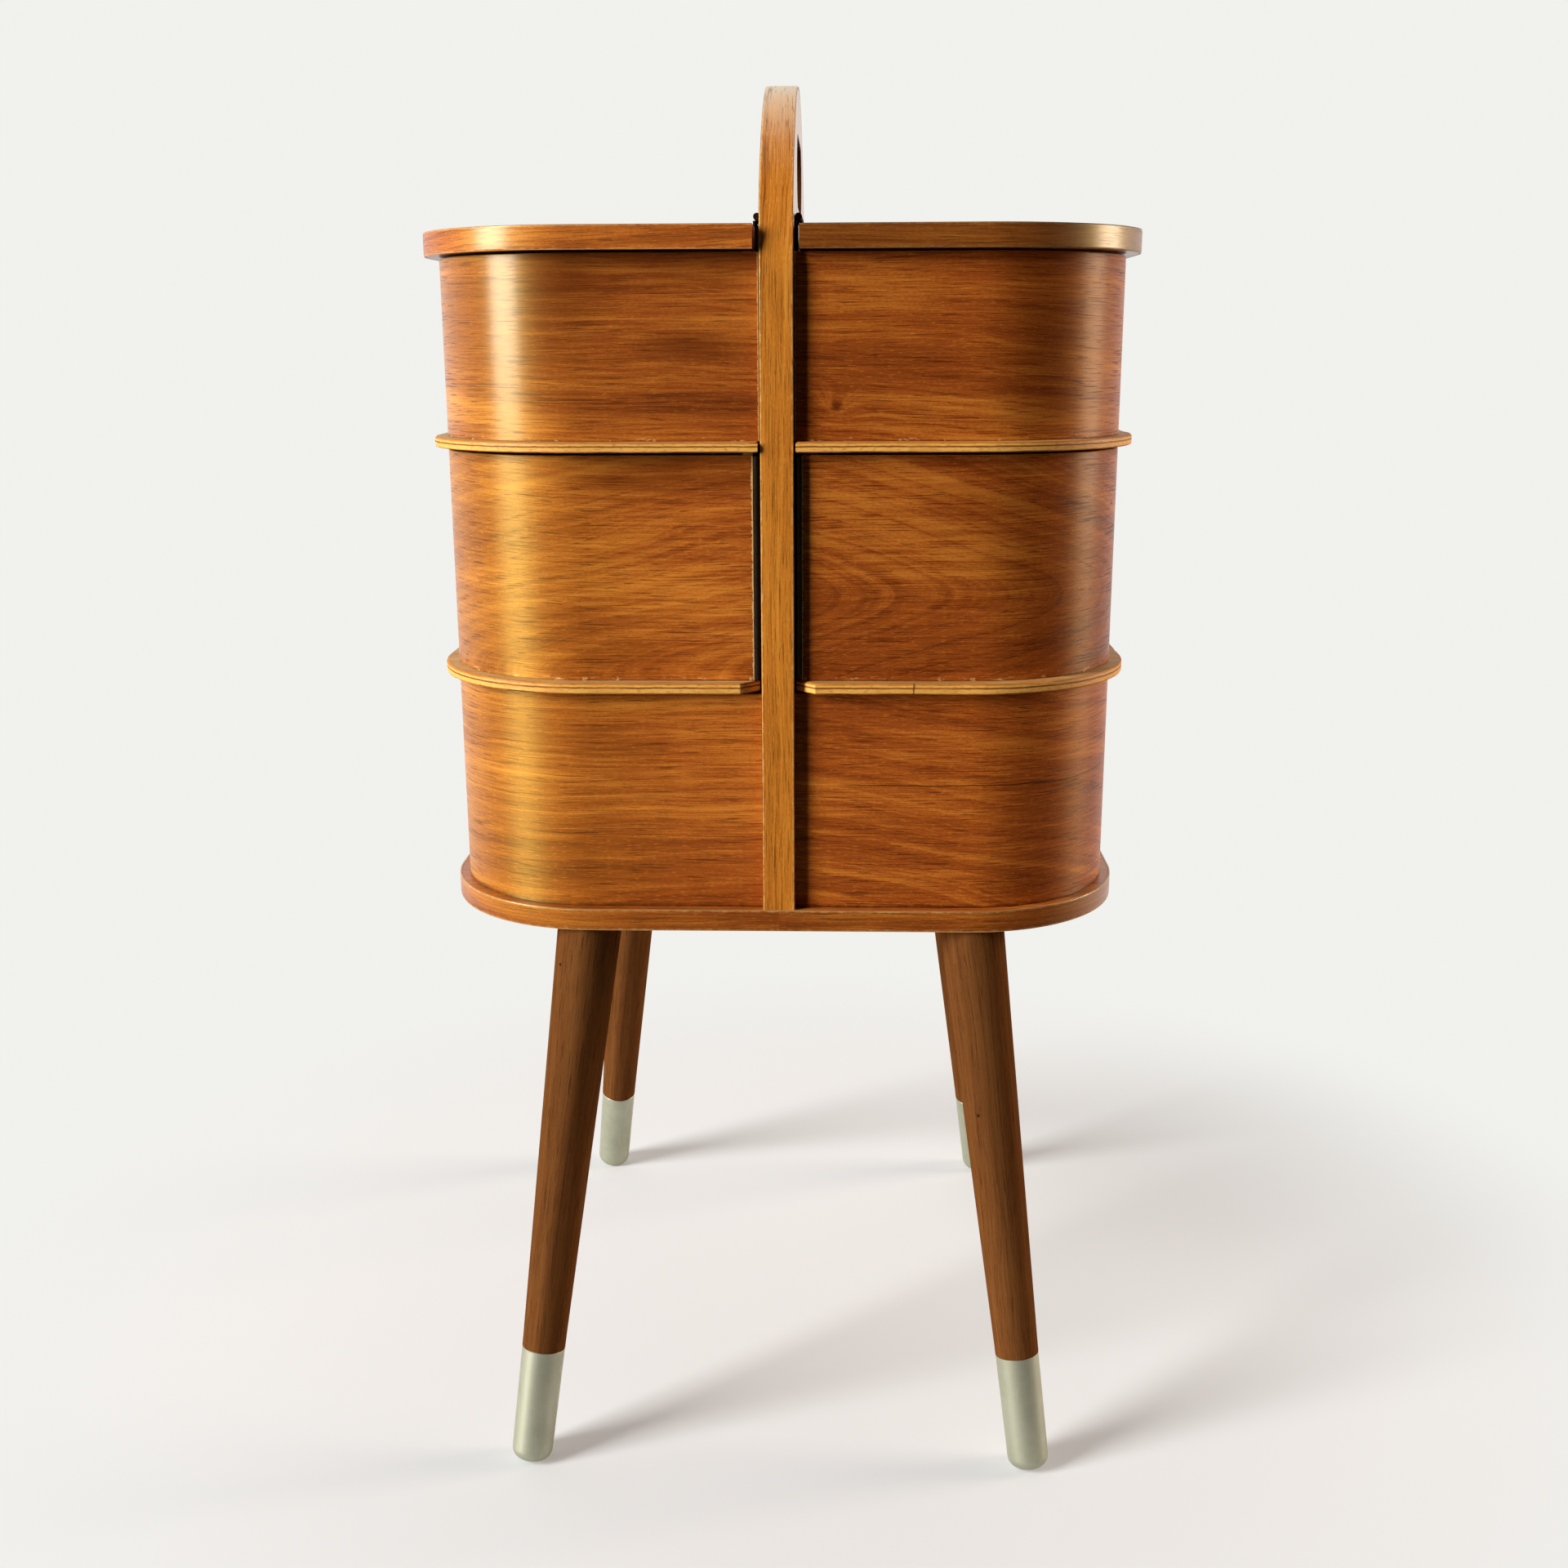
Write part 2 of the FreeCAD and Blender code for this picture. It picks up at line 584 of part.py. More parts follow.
board_screw_groups = [board_screw_group]
for kind, hinges in (("lid", lid_hinges[LEFT] + lid_hinges[RIGHT]), ("tray", list(tray_hinges.values()))):
    keep(group(kind + "_hinge_pin_set", [hinge.pin for hinge in hinges]), kind + "_hinge_pins")
    screws = [screw for hinge in hinges for screw in hinge.board_screws]
    screw_group = keep(group(kind + "_board_screw_set", screws), "board_%s_hinge_screws" % kind)
    leaves = group(kind + "_board_leaf_set", [hinge.board_leaf for hinge in hinges])
    keep(cut(kind + "_board_leaves_drilled", leaves, screw_group), "board_%s_hinge_leaves" % kind)
    board_screw_groups.append(screw_group)


# Centre board: one upright panel whose arched top, with its hand slot, is the handle

spring = handle_top - size("arch_rise")
corner = size("arch_rise") - size("arch_shoulder")
crown = ((board_span * board_span + size("arch_rise") * size("arch_rise") - board_span * corner * 2)
         / (size("arch_shoulder") * 2))
slot_middle = handle_top - size("slot_drop")
slot_round = size("slot_height") / 2
slot_half = size("slot_length") / 2

board_body = new_body("board_blank")
board_side = new_sketch(board_body, "board_side", "YZ_Plane", -board_face)
arch(board_side, board_span - band, base_top, spring, corner - band, crown - band)
pad(board_body, board_side, size("board_thickness"))
slot_side = new_sketch(board_body, "slot_side", "YZ_Plane", board_face)
straight = slot_half - slot_round
for sign in (-1, 1):
    centre = Vector(straight.number * sign, slot_middle.number, 0)
    tops = [centre + Vector(0, slot_round.number * turn * sign, 0) for turn in (-1, 1)]
    bend = slot_side.addGeometry(arc_between(centre, slot_round.number, tops[0], tops[1]), False)
    bind_point(slot_side, bend, 3, straight * sign, slot_middle)
    bind(slot_side, "Radius", bend, None, slot_round)
for sign, first, last in ((-1, 0, 1), (1, 1, 0)):
    ends = [Vector(straight.number * turn, (slot_middle + slot_round * sign).number, 0)
            for turn in (sign, -sign)]
    edge = slot_side.addGeometry(Part.LineSegment(ends[0], ends[1]), False)
    slot_side.addConstraint(Sketcher.Constraint("Tangent", first, 2, edge, 1))
    slot_side.addConstraint(Sketcher.Constraint("Tangent", edge, 2, last, 1))
pocket(board_body, slot_side, size("board_thickness"))
board_drilled = board_body
for number, screw_group in enumerate(board_screw_groups, start=1):
    board_drilled = cut("board_drilled_%d" % number, board_drilled, screw_group)
keep(board_drilled, "centre_board")

board_band = new_body("board_strip")
strip_side = new_sketch(board_band, "board_strip_side", "YZ_Plane", -board_face)
arch(strip_side, board_span, base_top, spring, corner, crown)
pad(board_band, strip_side, size("board_thickness"))
strip_inside = new_sketch(board_band, "board_strip_inside", "YZ_Plane", board_face)
arch(strip_inside, board_span - band, base_top - band, spring, corner - band, crown - band)
pocket(board_band, strip_inside, size("board_thickness"))
keep(board_band, "board_edge_band")


# Shells, plates and walls of the three tiers

def shell_corners(side, front_gap, rear_gap, overhang, wall):
    """A bent strip round one half of the box, open towards the board."""
    outer_x = half_width + overhang
    outer_y = half_depth + overhang
    radius = size("corner_radius") + overhang
    front_x = board_face + front_gap
    rear_x = board_face + rear_gap
    return [
        (front_x * side, -outer_y), (outer_x * side, -outer_y, radius),
        (outer_x * side, outer_y, radius), (rear_x * side, outer_y),
        (rear_x * side, outer_y - wall), ((outer_x - wall) * side, outer_y - wall, radius - wall),
        ((outer_x - wall) * side, wall - outer_y, radius - wall), (front_x * side, wall - outer_y)]


def plate_corners(side, end):
    """A bottom plate, clipped at 45 degrees past the hinge so that it clears the board when open."""
    outer_x = half_width + size("plate_overhang")
    outer_y = half_depth + size("plate_overhang")
    radius = size("corner_radius") + size("plate_overhang")
    inner_x = board_face + size("plate_gap")
    clip_x = board_face + hinge_gap + size("plate_overhang")
    clip_y = half_depth - (hinge_gap - size("plate_gap"))
    return [
        (clip_x * side, outer_y * end), (outer_x * side, outer_y * end, radius),
        (outer_x * side, -outer_y * end, radius), (inner_x * side, -outer_y * end),
        (inner_x * side, clip_y * end)]


wall = size("shell_wall")
for side in (LEFT, RIGHT):
    name = SIDE_NAMES[side]

    # Bottom box: a shell glued to base and board
    keep(slab(name + "_bottom_bend", shell_corners(side, ZERO, ZERO, ZERO, wall), base_top,
              size("bottom_height")), name + "_bottom_shell")

    # Trays: a plate with a shell and a straight inner wall on it, hung on the board by a strip hinge
    for tier, end, floor, plate, height in (
            ("middle", FRONT, middle_floor, size("middle_plate"), size("middle_height")),
            ("top", REAR, top_floor, size("top_plate"), size("top_height"))):
        tray = "%s_%s" % (name, tier)
        inside = floor + plate
        gaps = {end: hinge_gap, -end: size("free_end_gap")}
        wall_plan = rectangle((board_face + hinge_gap) * side,
                              (board_face + hinge_gap + size("wall_thickness")) * side,
                              wall - half_depth, half_depth - wall)
        hinge = tray_hinges[side, tier]
        screws = keep(group(tray + "_screw_set", hinge.mover_screws), tray + "_hinge_screws")
        keep(slab(tray + "_floor", plate_corners(side, end), floor, plate), tray + "_plate")
        keep(slab(tray + "_bend", shell_corners(side, gaps[FRONT], gaps[REAR], ZERO, wall), inside, height),
             tray + "_shell")
        keep(cut(tray + "_side_drilled", slab(tray + "_side", wall_plan, inside, height), screws),
             tray + "_inner_wall")
        keep(cut(tray + "_leaf_drilled", hinge.mover_leaf, screws), tray + "_hinge_leaf")

    # Lid: a panel with a veneer strip round its three free edges, hung on two hinges
    screws = [screw for hinge in lid_hinges[side] for screw in hinge.mover_screws]
    screw_group = keep(group(name + "_lid_screw_set", screws), name + "_lid_hinge_screws")
    leaves = group(name + "_lid_leaf_set", [hinge.mover_leaf for hinge in lid_hinges[side]])
    keep(cut(name + "_lid_leaves_drilled", leaves, screw_group), name + "_lid_hinge_leaves")
    lid_x = half_width + size("lid_overhang") - band
    lid_y = half_depth + size("lid_overhang") - band
    lid_radius = size("corner_radius") + size("lid_overhang") - band
    lid_end = board_face + hinge_gap
    lid_body = slab(name + "_lid_blank", [
        (lid_end * side, -lid_y), (lid_x * side, -lid_y, lid_radius),
        (lid_x * side, lid_y, lid_radius), (lid_end * side, lid_y)], lid_bottom, size("lid_thickness"))
    keep(cut(name + "_lid_drilled", lid_body, screw_group), name + "_lid_panel")
    keep(slab(name + "_lid_strip",
              shell_corners(side, hinge_gap, hinge_gap, size("lid_overhang"), band),
              lid_bottom, size("lid_thickness")), name + "_lid_edge_band")


# Build, check and write every sub-part

doc.recompute()
for item in doc.Objects:
    if "Invalid" in item.State or "Error" in item.State:
        raise RuntimeError("%s failed: %s" % (item.Label, item.State))
for item in NODES:
    if item.Shape.isNull() or not item.Shape.isValid() or not item.Shape.Solids:
        raise RuntimeError("%s has no sound solid" % item.Label)
os.makedirs("parts", exist_ok=True)
for item in NODES:
    item.Shape.exportStep("parts/%s.step" % item.Label)
print("%d nodes" % len(NODES))
print("handle top %.1f, lid top %.1f" % (handle_top.number, lid_top.number))
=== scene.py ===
import math
import random

import bmesh
import bpy
from mathutils import Matrix, Vector


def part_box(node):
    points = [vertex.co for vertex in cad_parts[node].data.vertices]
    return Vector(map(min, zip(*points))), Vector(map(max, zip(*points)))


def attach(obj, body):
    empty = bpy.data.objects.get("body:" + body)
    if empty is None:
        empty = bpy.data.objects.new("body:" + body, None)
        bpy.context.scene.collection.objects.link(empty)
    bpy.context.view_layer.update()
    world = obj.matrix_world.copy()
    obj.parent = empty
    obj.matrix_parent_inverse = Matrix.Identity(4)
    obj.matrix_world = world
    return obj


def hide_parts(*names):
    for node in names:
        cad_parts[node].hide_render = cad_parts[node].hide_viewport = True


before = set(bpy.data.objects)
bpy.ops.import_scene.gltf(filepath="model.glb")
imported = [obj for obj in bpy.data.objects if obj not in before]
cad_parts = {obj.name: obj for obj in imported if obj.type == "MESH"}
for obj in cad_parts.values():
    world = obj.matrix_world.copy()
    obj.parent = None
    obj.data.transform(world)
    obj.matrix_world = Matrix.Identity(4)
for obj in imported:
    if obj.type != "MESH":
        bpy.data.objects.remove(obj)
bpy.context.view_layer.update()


# Base panel: the plywood floor of the box, veneered with teak on both faces.
# A thin strip of teak is glued round its edge, and its arrises are sanded round.

OUTER, INNER, RIM, END = range(4)
SIDE, TOP, BOTTOM, SLOT = range(4)
SHARP_TURN = math.radians(35)


class Shape:
    """Points and faces of one piece, with a grain coordinate at each corner of each face."""

    def __init__(self):
        self.points = []
        self.faces = []
        self.grain = []
        self.kinds = []

    def face(self, corners, grain, kind):
        self.faces.append(corners)
        self.grain.append(grain)
        self.kinds.append(kind)

    def join(self, other, matrix=Matrix()):
        first = len(self.points)
        self.points += [tuple(matrix @ Vector(point)) for point in other.points]
        for corners, grain, kind in zip(other.faces, other.grain, other.kinds):
            self.face([first + corner for corner in corners], grain, kind)
        return self


def build(name, shape, materials, body, nodes):
    """Make a piece of a shape, in place of some CAD nodes and on their body."""
    mesh = bpy.data.meshes.new(name)
    mesh.from_pydata(shape.points, [], shape.faces)
    grain = mesh.uv_layers.new(name="grain")
    for face, corners, kind in zip(mesh.polygons, shape.grain, shape.kinds):
        face.use_smooth = True
        face.material_index = min(kind, len(materials) - 1)
        for loop, place in zip(face.loop_indices, corners):
            grain.data[loop].uv = place
    work = bmesh.new()
    work.from_mesh(mesh)
    bmesh.ops.recalc_face_normals(work, faces=work.faces)
    for edge in work.edges:
        edge.smooth = not edge.is_manifold or edge.calc_face_angle() < SHARP_TURN
    work.to_mesh(mesh)
    work.free()
    for material in materials:
        mesh.materials.append(material)
    piece = bpy.data.objects.new(name, mesh)
    bpy.context.scene.collection.objects.link(piece)
    normals = piece.modifiers.new("face_normals", "WEIGHTED_NORMAL")
    normals.keep_sharp = True
    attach(piece, body)
    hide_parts(*nodes)


def straight(start, end, inward, step=0.004):
    """Points along a straight run, without its last one, each with the direction inwards."""
    count = max(1, round(math.dist(start, end) / step))
    return [(start[0] + (end[0] - start[0]) * i / count, start[1] + (end[1] - start[1]) * i / count, *inward)
            for i in range(count)]


def bend(centre, radius, start, end, step=2.5):
    """Points along an arc, in degrees, without its last one, each with the direction inwards."""
    count = max(1, round(abs(end - start) / step))
    turns = [math.radians(start + (end - start) * i / count) for i in range(count)]
    return [(centre[0] + radius * math.cos(a), centre[1] + radius * math.sin(a), -math.cos(a), -math.sin(a))
            for a in turns]


def measured(path):
    """Add to each point of a path its distance from the first."""
    lengths = [0.0]
    for before, after in zip(path, path[1:]):
        lengths.append(lengths[-1] + math.dist(before[:2], after[:2]))
    return [(*point, length) for point, length in zip(path, lengths)]


def half_path(side, front_x, rear_x, half_x, half_y, radius):
    """The line round one half of the box, from its front end to its rear end."""
    x, y = half_x - radius, half_y - radius
    path = straight((front_x, -half_y), (x, -half_y), (0, 1))
    path += bend((x, -y), radius, -90, 0)
    path += straight((half_x, -y), (half_x, y), (-1, 0))
    path += bend((x, y), radius, 0, 90)
    path += straight((x, half_y), (rear_x, half_y), (0, -1))
    path.append((rear_x, half_y, 0, -1))
    return [(px * side, py, nx * side, ny) for px, py, nx, ny in path]


def ring_path(half_x, half_y, radius):
    """The closed line round the whole box."""
    right = half_path(1, 0, 0, half_x, half_y, radius)
    left = half_path(-1, 0, 0, half_x, half_y, radius)
    return right[:-1] + left[:0:-1]


def eased_section(low, high, wall, ease):
    """The section of an upright strip with rounded arrises.

    Each point gives its depth from the outer face, its height, and the kind of face that starts there.
    """
    third = ease * 0.3
    return [
        (0, low + ease, OUTER), (0, high - ease, OUTER), (third, high - third, RIM), (ease, high, RIM),
        (wall - ease, high, RIM), (wall - third, high - third, INNER), (wall, high - ease, INNER),
        (wall, low + ease, INNER), (wall - third, low + third, RIM), (wall - ease, low, RIM),
        (ease, low, RIM), (third, low + third, OUTER)]


def flat(x, y, height):
    return (x, y, height)


def sweep(path, section, closed=False, place=flat):
    """A strip with a section, bent along a path."""
    shape = Shape()
    path = measured(path)
    whole = path[-1][4] + math.dist(path[-1][:2], path[0][:2])
    ring = len(section)
    for x, y, nx, ny, length in path:
        shape.points += [place(x + nx * depth, y + ny * depth, height) for depth, height, kind in section]
    for i in range(len(path) if closed else len(path) - 1):
        j = (i + 1) % len(path)
        begin, end = path[i][4], path[j][4] if j else whole
        for k, (depth, height, kind) in enumerate(section):
            m = (k + 1) % ring
            a, b = (depth, section[m][0]) if kind == RIM else (height, section[m][1])
            shape.face([i * ring + k, j * ring + k, j * ring + m, i * ring + m],
                       [(begin, a), (end, a), (end, b), (begin, b)], kind)
    if not closed:
        for i in (0, len(path) - 1):
            shape.face([i * ring + k for k in range(ring)], [(d, h) for d, h, kind in section], END)
    return shape


def inward_normals(loop):
    """For each corner of a closed anticlockwise loop, the step inwards that keeps both its edges parallel."""
    normals = []
    for before, here, after in zip(loop[-1:] + loop[:-1], loop, loop[1:] + loop[:1]):
        arriving = (Vector(here) - Vector(before)).normalized()
        leaving = (Vector(after) - Vector(here)).normalized()
        first, second = Vector((-arriving.y, arriving.x)), Vector((-leaving.y, leaving.x))
        normals.append((first + second) / max(0.2, 1 + first.dot(second)))
    return normals


def anticlockwise(loop):
    area = sum(a[0] * b[1] - b[0] * a[1] for a, b in zip(loop, loop[1:] + loop[:1]))
    return loop if area > 0 else loop[::-1]


def slab(loop, low, high, ease, place=flat, grain=lambda x, y: (x, y), hole=None, nicks=None):
    """A flat piece cut to an outline, with rounded arrises, and if asked a hole and a nicked edge."""
    shape = Shape()
    third = ease * 0.3
    rings = [(ease, low), (third, low + third), (0, low + ease),
             (0, high - ease), (third, high - third), (ease, high)]
    caps = []
    for wall, line in ((SIDE, loop), (SLOT, hole)):
        if line is None:
            continue
        line = anticlockwise(line) if wall == SIDE else anticlockwise(line)[::-1]
        normals = inward_normals(line)
        lengths = [point[2] for point in measured(line)] + [0]
        lengths[-1] = lengths[-2] + math.dist(line[-1], line[0])
        first = len(shape.points)
        count = len(line)
        for number, (inset, height) in enumerate(rings):
            for i, ((x, y), normal) in enumerate(zip(line, normals)):
                depth = inset + (nicks(i, number) if nicks else 0)
                shape.points.append(place(x + normal.x * depth, y + normal.y * depth, height))
        for number in range(len(rings) - 1):
            heights = rings[number][1], rings[number + 1][1]
            for i in range(count):
                j = (i + 1) % count
                lower, upper = first + number * count, first + (number + 1) * count
                shape.face([lower + i, lower + j, upper + j, upper + i],
                           [(lengths[i], heights[0]), (lengths[i + 1], heights[0]),
                            (lengths[i + 1], heights[1]), (lengths[i], heights[1])], wall)
        caps.append((first, first + (len(rings) - 1) * count, count, line, normals))
    for level, kind in ((0, BOTTOM), (1, TOP)):
        spots = [[cap[level] + i for i in range(cap[2])] for cap in caps]
        places = [[grain(x + n.x * ease, y + n.y * ease) for (x, y), n in zip(cap[3], cap[4])]
                  for cap in caps]
        if hole is None:
            shape.face(spots[0], places[0], kind)
        else:
            ring_face(shape, spots, places, [cap[3] for cap in caps], kind)
    return shape


def ring_face(shape, spots, places, lines, kind):
    """Fill between an outline and its hole with triangles."""
    fill = bmesh.new()
    corners = {}
    for line, spot, place in zip(lines, spots, places):
        made = [fill.verts.new((x, y, 0)) for x, y in line]
        for vertex, number, grain in zip(made, spot, place):
            corners[vertex] = (number, grain)
        for a, b in zip(made, made[1:] + made[:1]):
            fill.edges.new((a, b))
    bmesh.ops.triangle_fill(fill, use_beauty=True, edges=fill.edges[:])
    for face in fill.faces:
        shape.face([corners[v][0] for v in face.verts], [corners[v][1] for v in face.verts], kind)
    fill.free()


class Nodes:
    """Short ways to add nodes to a tree and to wire them."""

    def __init__(self, tree):
        self.tree = tree

    def feed(self, socket, value):
        if isinstance(value, bpy.types.NodeSocket):
            self.tree.links.new(value, socket)
        else:
            socket.default_value = value

    def add(self, kind, inputs, **settings):
        node = self.tree.nodes.new("ShaderNode" + kind)
        for key, value in settings.items():
            setattr(node, key, value)
        for key, value in inputs.items():
            self.feed(node.inputs[key], value)
        return node

    def math(self, operation, a, b=0.0, c=0.0):
        return self.add("Math", {0: a, 1: b, 2: c}, operation=operation).outputs[0]

    def place(self, x, y):
        return self.add("CombineXYZ", {0: x, 1: y}).outputs[0]

    def noise_line(self, value, detail, roughness):
        inputs = {"W": value, "Scale": 1.0, "Detail": detail, "Roughness": roughness}
        return self.add("TexNoise", inputs, noise_dimensions="1D").outputs[0]

    def stretched(self, x, y, per_x, per_y, detail=2.0, roughness=0.5):
        """Noise with so many changes to the metre one way, and so many the other."""
        place = self.place(self.math("MULTIPLY", x, per_x), self.math("MULTIPLY", y, per_y))
        inputs = {"Vector": place, "Scale": 1.0, "Detail": detail, "Roughness": roughness}
        return self.add("TexNoise", inputs, noise_dimensions="2D").outputs[0]

    def stirred(self, start, *parts):
        """A value moved up and down by noises, each with its own weight."""
        for noise, weight in parts:
            start = self.math("MULTIPLY_ADD", self.math("SUBTRACT", noise, 0.5), weight, start)
        return start

    def distance(self, x, y, centre):
        dx, dy = self.math("SUBTRACT", x, centre[0]), self.math("SUBTRACT", y, centre[1])
        squares = self.math("MULTIPLY", dx, dx), self.math("MULTIPLY", dy, dy)
        return self.math("SQRT", self.math("ADD", *squares))

    def between(self, value, low, high, first=0.0, last=1.0):
        return self.add("MapRange", {0: value, 1: low, 2: high, 3: first, 4: last}).outputs[0]

    def blend(self, factor, first, second):
        node = self.add("Mix", {0: factor, 6: first, 7: second}, data_type="RGBA")
        return node.outputs[2]

    def ramp(self, factor, stops):
        node = self.add("ValToRGB", {0: factor})
        line = node.color_ramp.elements
        while len(line) < len(stops):
            line.new(0.5)
        for element, (place, colour) in zip(line, stops):
            element.position = place
            element.color = colour
        return node.outputs[0]


class Surface(Nodes):
    """A material in the making, with its shader."""

    def __init__(self, name):
        self.material = bpy.data.materials.new(name)
        self.material.use_nodes = True
        super().__init__(self.material.node_tree)
        self.shader = self.tree.nodes["Principled BSDF"]

    def finish(self, colour, roughness, bump=None, depth=0.0002, strength=0.3):
        self.feed(self.shader.inputs["Base Color"], colour)
        self.feed(self.shader.inputs["Roughness"], roughness)
        if bump is not None:
            node = self.add("Bump", {"Strength": strength, "Distance": depth, "Height": bump})
            self.feed(self.shader.inputs["Normal"], node.outputs[0])
        return self.material


def tone(red, green, blue):
    return (red, green, blue, 1.0)


# Dark brown of open cracks, and of the painted shade along the feet of sheets.
CRACK_AND_SHADE = tone(0.030, 0.010, 0.003)


def wood(name, tones, shift=0.0, heart=0.25, taper=0.06, rings=120.0, roughness=0.40, depth=1.0,
         gloss=0.42, shine=0.7, silk=0.0, painted_sheen=None, foot_shade=None, chipped=None, worn=None, torn=None,
         marks=(), shade_patches=(), crack=None, knot=None, grip_wear_and_highlight=None):
    """Veneer or solid wood: growth rings cut by the sheet, fibres, pores, flecks and slow changes of colour.

    Grain runs along the first grain coordinate. Heart is the height of the line about which the rings
    arch, and taper how steeply they close. Depth darkens the whole sheet. Silk stretches the golden sheen
    across fibres that lie level on an upright face. Painted sheen is the run along the grain over which a
    golden sheen is painted into the colour, and how far. Foot shade is the height of the foot of the sheet,
    and the reach and strength of the shade painted dark there. Chipped is the height of that foot and the
    reach of its pale flakes. Worn gives two heights near which the arris is rubbed pale, and how wide.
    Torn is the width of the frayed veneer at the front end. Marks are small holes. Shade patches are dark
    patches of painted shade, each with its place, its reach both ways and its strength. Crack is the
    height, start and end of an open line, and knot a place and a radius. Grip wear and highlight is a place
    along the grain and the reach of a pale patch: finish worn off by hands, and a painted highlight.
    """
    shades = [tone(*[channel * depth for channel in shade[:3]]) for shade in tones]
    s = Surface(name)
    split = s.add("SeparateXYZ", {0: s.add("UVMap", {}, uv_map="grain").outputs[0]})
    length, height = split.outputs[0], split.outputs[1]
    along = s.math("ADD", length, shift)
    across = s.math("SUBTRACT", height, heart)
    flow = s.stirred(across, (s.stretched(along, across, 4.0, 9.0), 0.010),
                     (s.stretched(along, across, 40.0, 140.0), 0.0008))
    bent = s.stirred(flow, (s.stretched(along, across, 5.0, 13.0, 3.0), 0.020))
    spread = s.math("SQRT", s.math("MULTIPLY_ADD", bent, bent, 0.0002))
    radius = s.math("MULTIPLY_ADD", length, taper, spread)
    if knot:
        near = s.between(s.distance(length, height, knot), 0.0, knot[2] * 6, 1.0, 0.0)
        radius = s.math("MULTIPLY_ADD", s.math("POWER", near, 3.0), knot[2] * 3, radius)
    bands = s.noise_line(s.math("MULTIPLY_ADD", radius, rings, shift * 7), 3.0, 0.55)
    fine_bands = s.noise_line(s.math("MULTIPLY_ADD", radius, rings * 4, shift * 3), 2.0, 0.7)
    fibres = s.stretched(along, flow, 16.0, 700.0, 3.0, 0.6)
    hairs = s.stretched(along, flow, 40.0, 1700.0, 2.0)
    streaks = s.stretched(along, flow, 5.0, 260.0, 3.0, 0.6)
    slow = s.stretched(along, across, 8.0, 22.0, 3.0)
    specks = s.stretched(along, flow, 700.0, 1500.0, 1.0)
    value = s.stirred(0.5, (bands, 0.55), (fine_bands, 0.32), (fibres, 0.42), (hairs, 0.50),
                      (streaks, 0.42), (slow, 0.9), (specks, 0.25))
    colour = s.ramp(value, [(0.05, shades[0]), (0.50, shades[1]), (0.95, shades[2])])
    # Painted sheen: a golden tone painted into the colour along part of the run, where the light falls.
    if painted_sheen:
        start, end, share = painted_sheen
        golden = s.ramp(value, [(0.05, tone(0.215, 0.057, 0.006)), (0.50, tone(0.375, 0.130, 0.012)),
                                (0.95, tone(0.620, 0.268, 0.032))])
        colour = s.blend(s.between(length, start, end, 0.0, share), colour, golden)
    ring_line = s.between(s.math("ABSOLUTE", s.math("SUBTRACT", fine_bands, 0.5)), 0.0, 0.015, 0.16, 0.0)
    colour = s.blend(ring_line, colour, shades[2])
    flecks = s.between(s.stretched(along, flow, 260.0, 2100.0, 1.0), 0.64, 0.76)
    colour = s.blend(s.math("MULTIPLY", flecks, 0.40), colour, shades[2])
    dashes = s.stretched(along, flow, 75.0, 1700.0, 1.0)
    pores = s.between(s.stirred(dashes, (fine_bands, -0.30)), 0.66, 0.73)
    long_pores = s.between(s.stirred(s.stretched(along, flow, 36.0, 1700.0, 1.0), (bands, -0.40)), 0.69, 0.75)
    pores = s.math("MAXIMUM", s.math("MULTIPLY", pores, 0.60), s.math("MULTIPLY", long_pores, 0.75))
    colour = s.blend(pores, colour, shades[3])
    # Dark patches of painted shade: under the plates and lids, and on the right bends.
    for patch_along, patch_height, reach_along, reach_up, strength in shade_patches:
        off = s.place(s.math("SUBTRACT", length, patch_along), s.math("SUBTRACT", height, patch_height))
        shares = (1 / reach_along, 1 / reach_up, 1)
        off = s.add("VectorMath", {0: off, 1: shares}, operation="MULTIPLY").outputs[0]
        off = s.add("VectorMath", {0: off}, operation="LENGTH").outputs["Value"]
        off = s.stirred(off, (streaks, 0.9), (slow, 0.9))
        colour = s.blend(s.between(off, 0.3, 1.1, strength, 0.0), colour, tone(0.100, 0.015, 0.001))
    if crack:
        level, start, end = crack
        wander = s.stirred(height, (s.stretched(length, height, 30.0, 0.0, 3.0), 0.004))
        line = s.between(s.math("ABSOLUTE", s.math("SUBTRACT", wander, level)), 0.0001, 0.0004, 0.85, 0.0)
        opening = s.between(length, start, start + 0.01)
        run = s.math("MULTIPLY", opening, s.between(length, end, end - 0.01))
        colour = s.blend(s.math("MULTIPLY", line, run), colour, CRACK_AND_SHADE)
    if knot:
        core = s.between(s.distance(length, height, knot), knot[2] * 0.3, knot[2], 0.85, 0.0)
        colour = s.blend(core, colour, shades[3])
    rub = s.stretched(length, height, 300.0, 300.0, 4.0, 0.65)
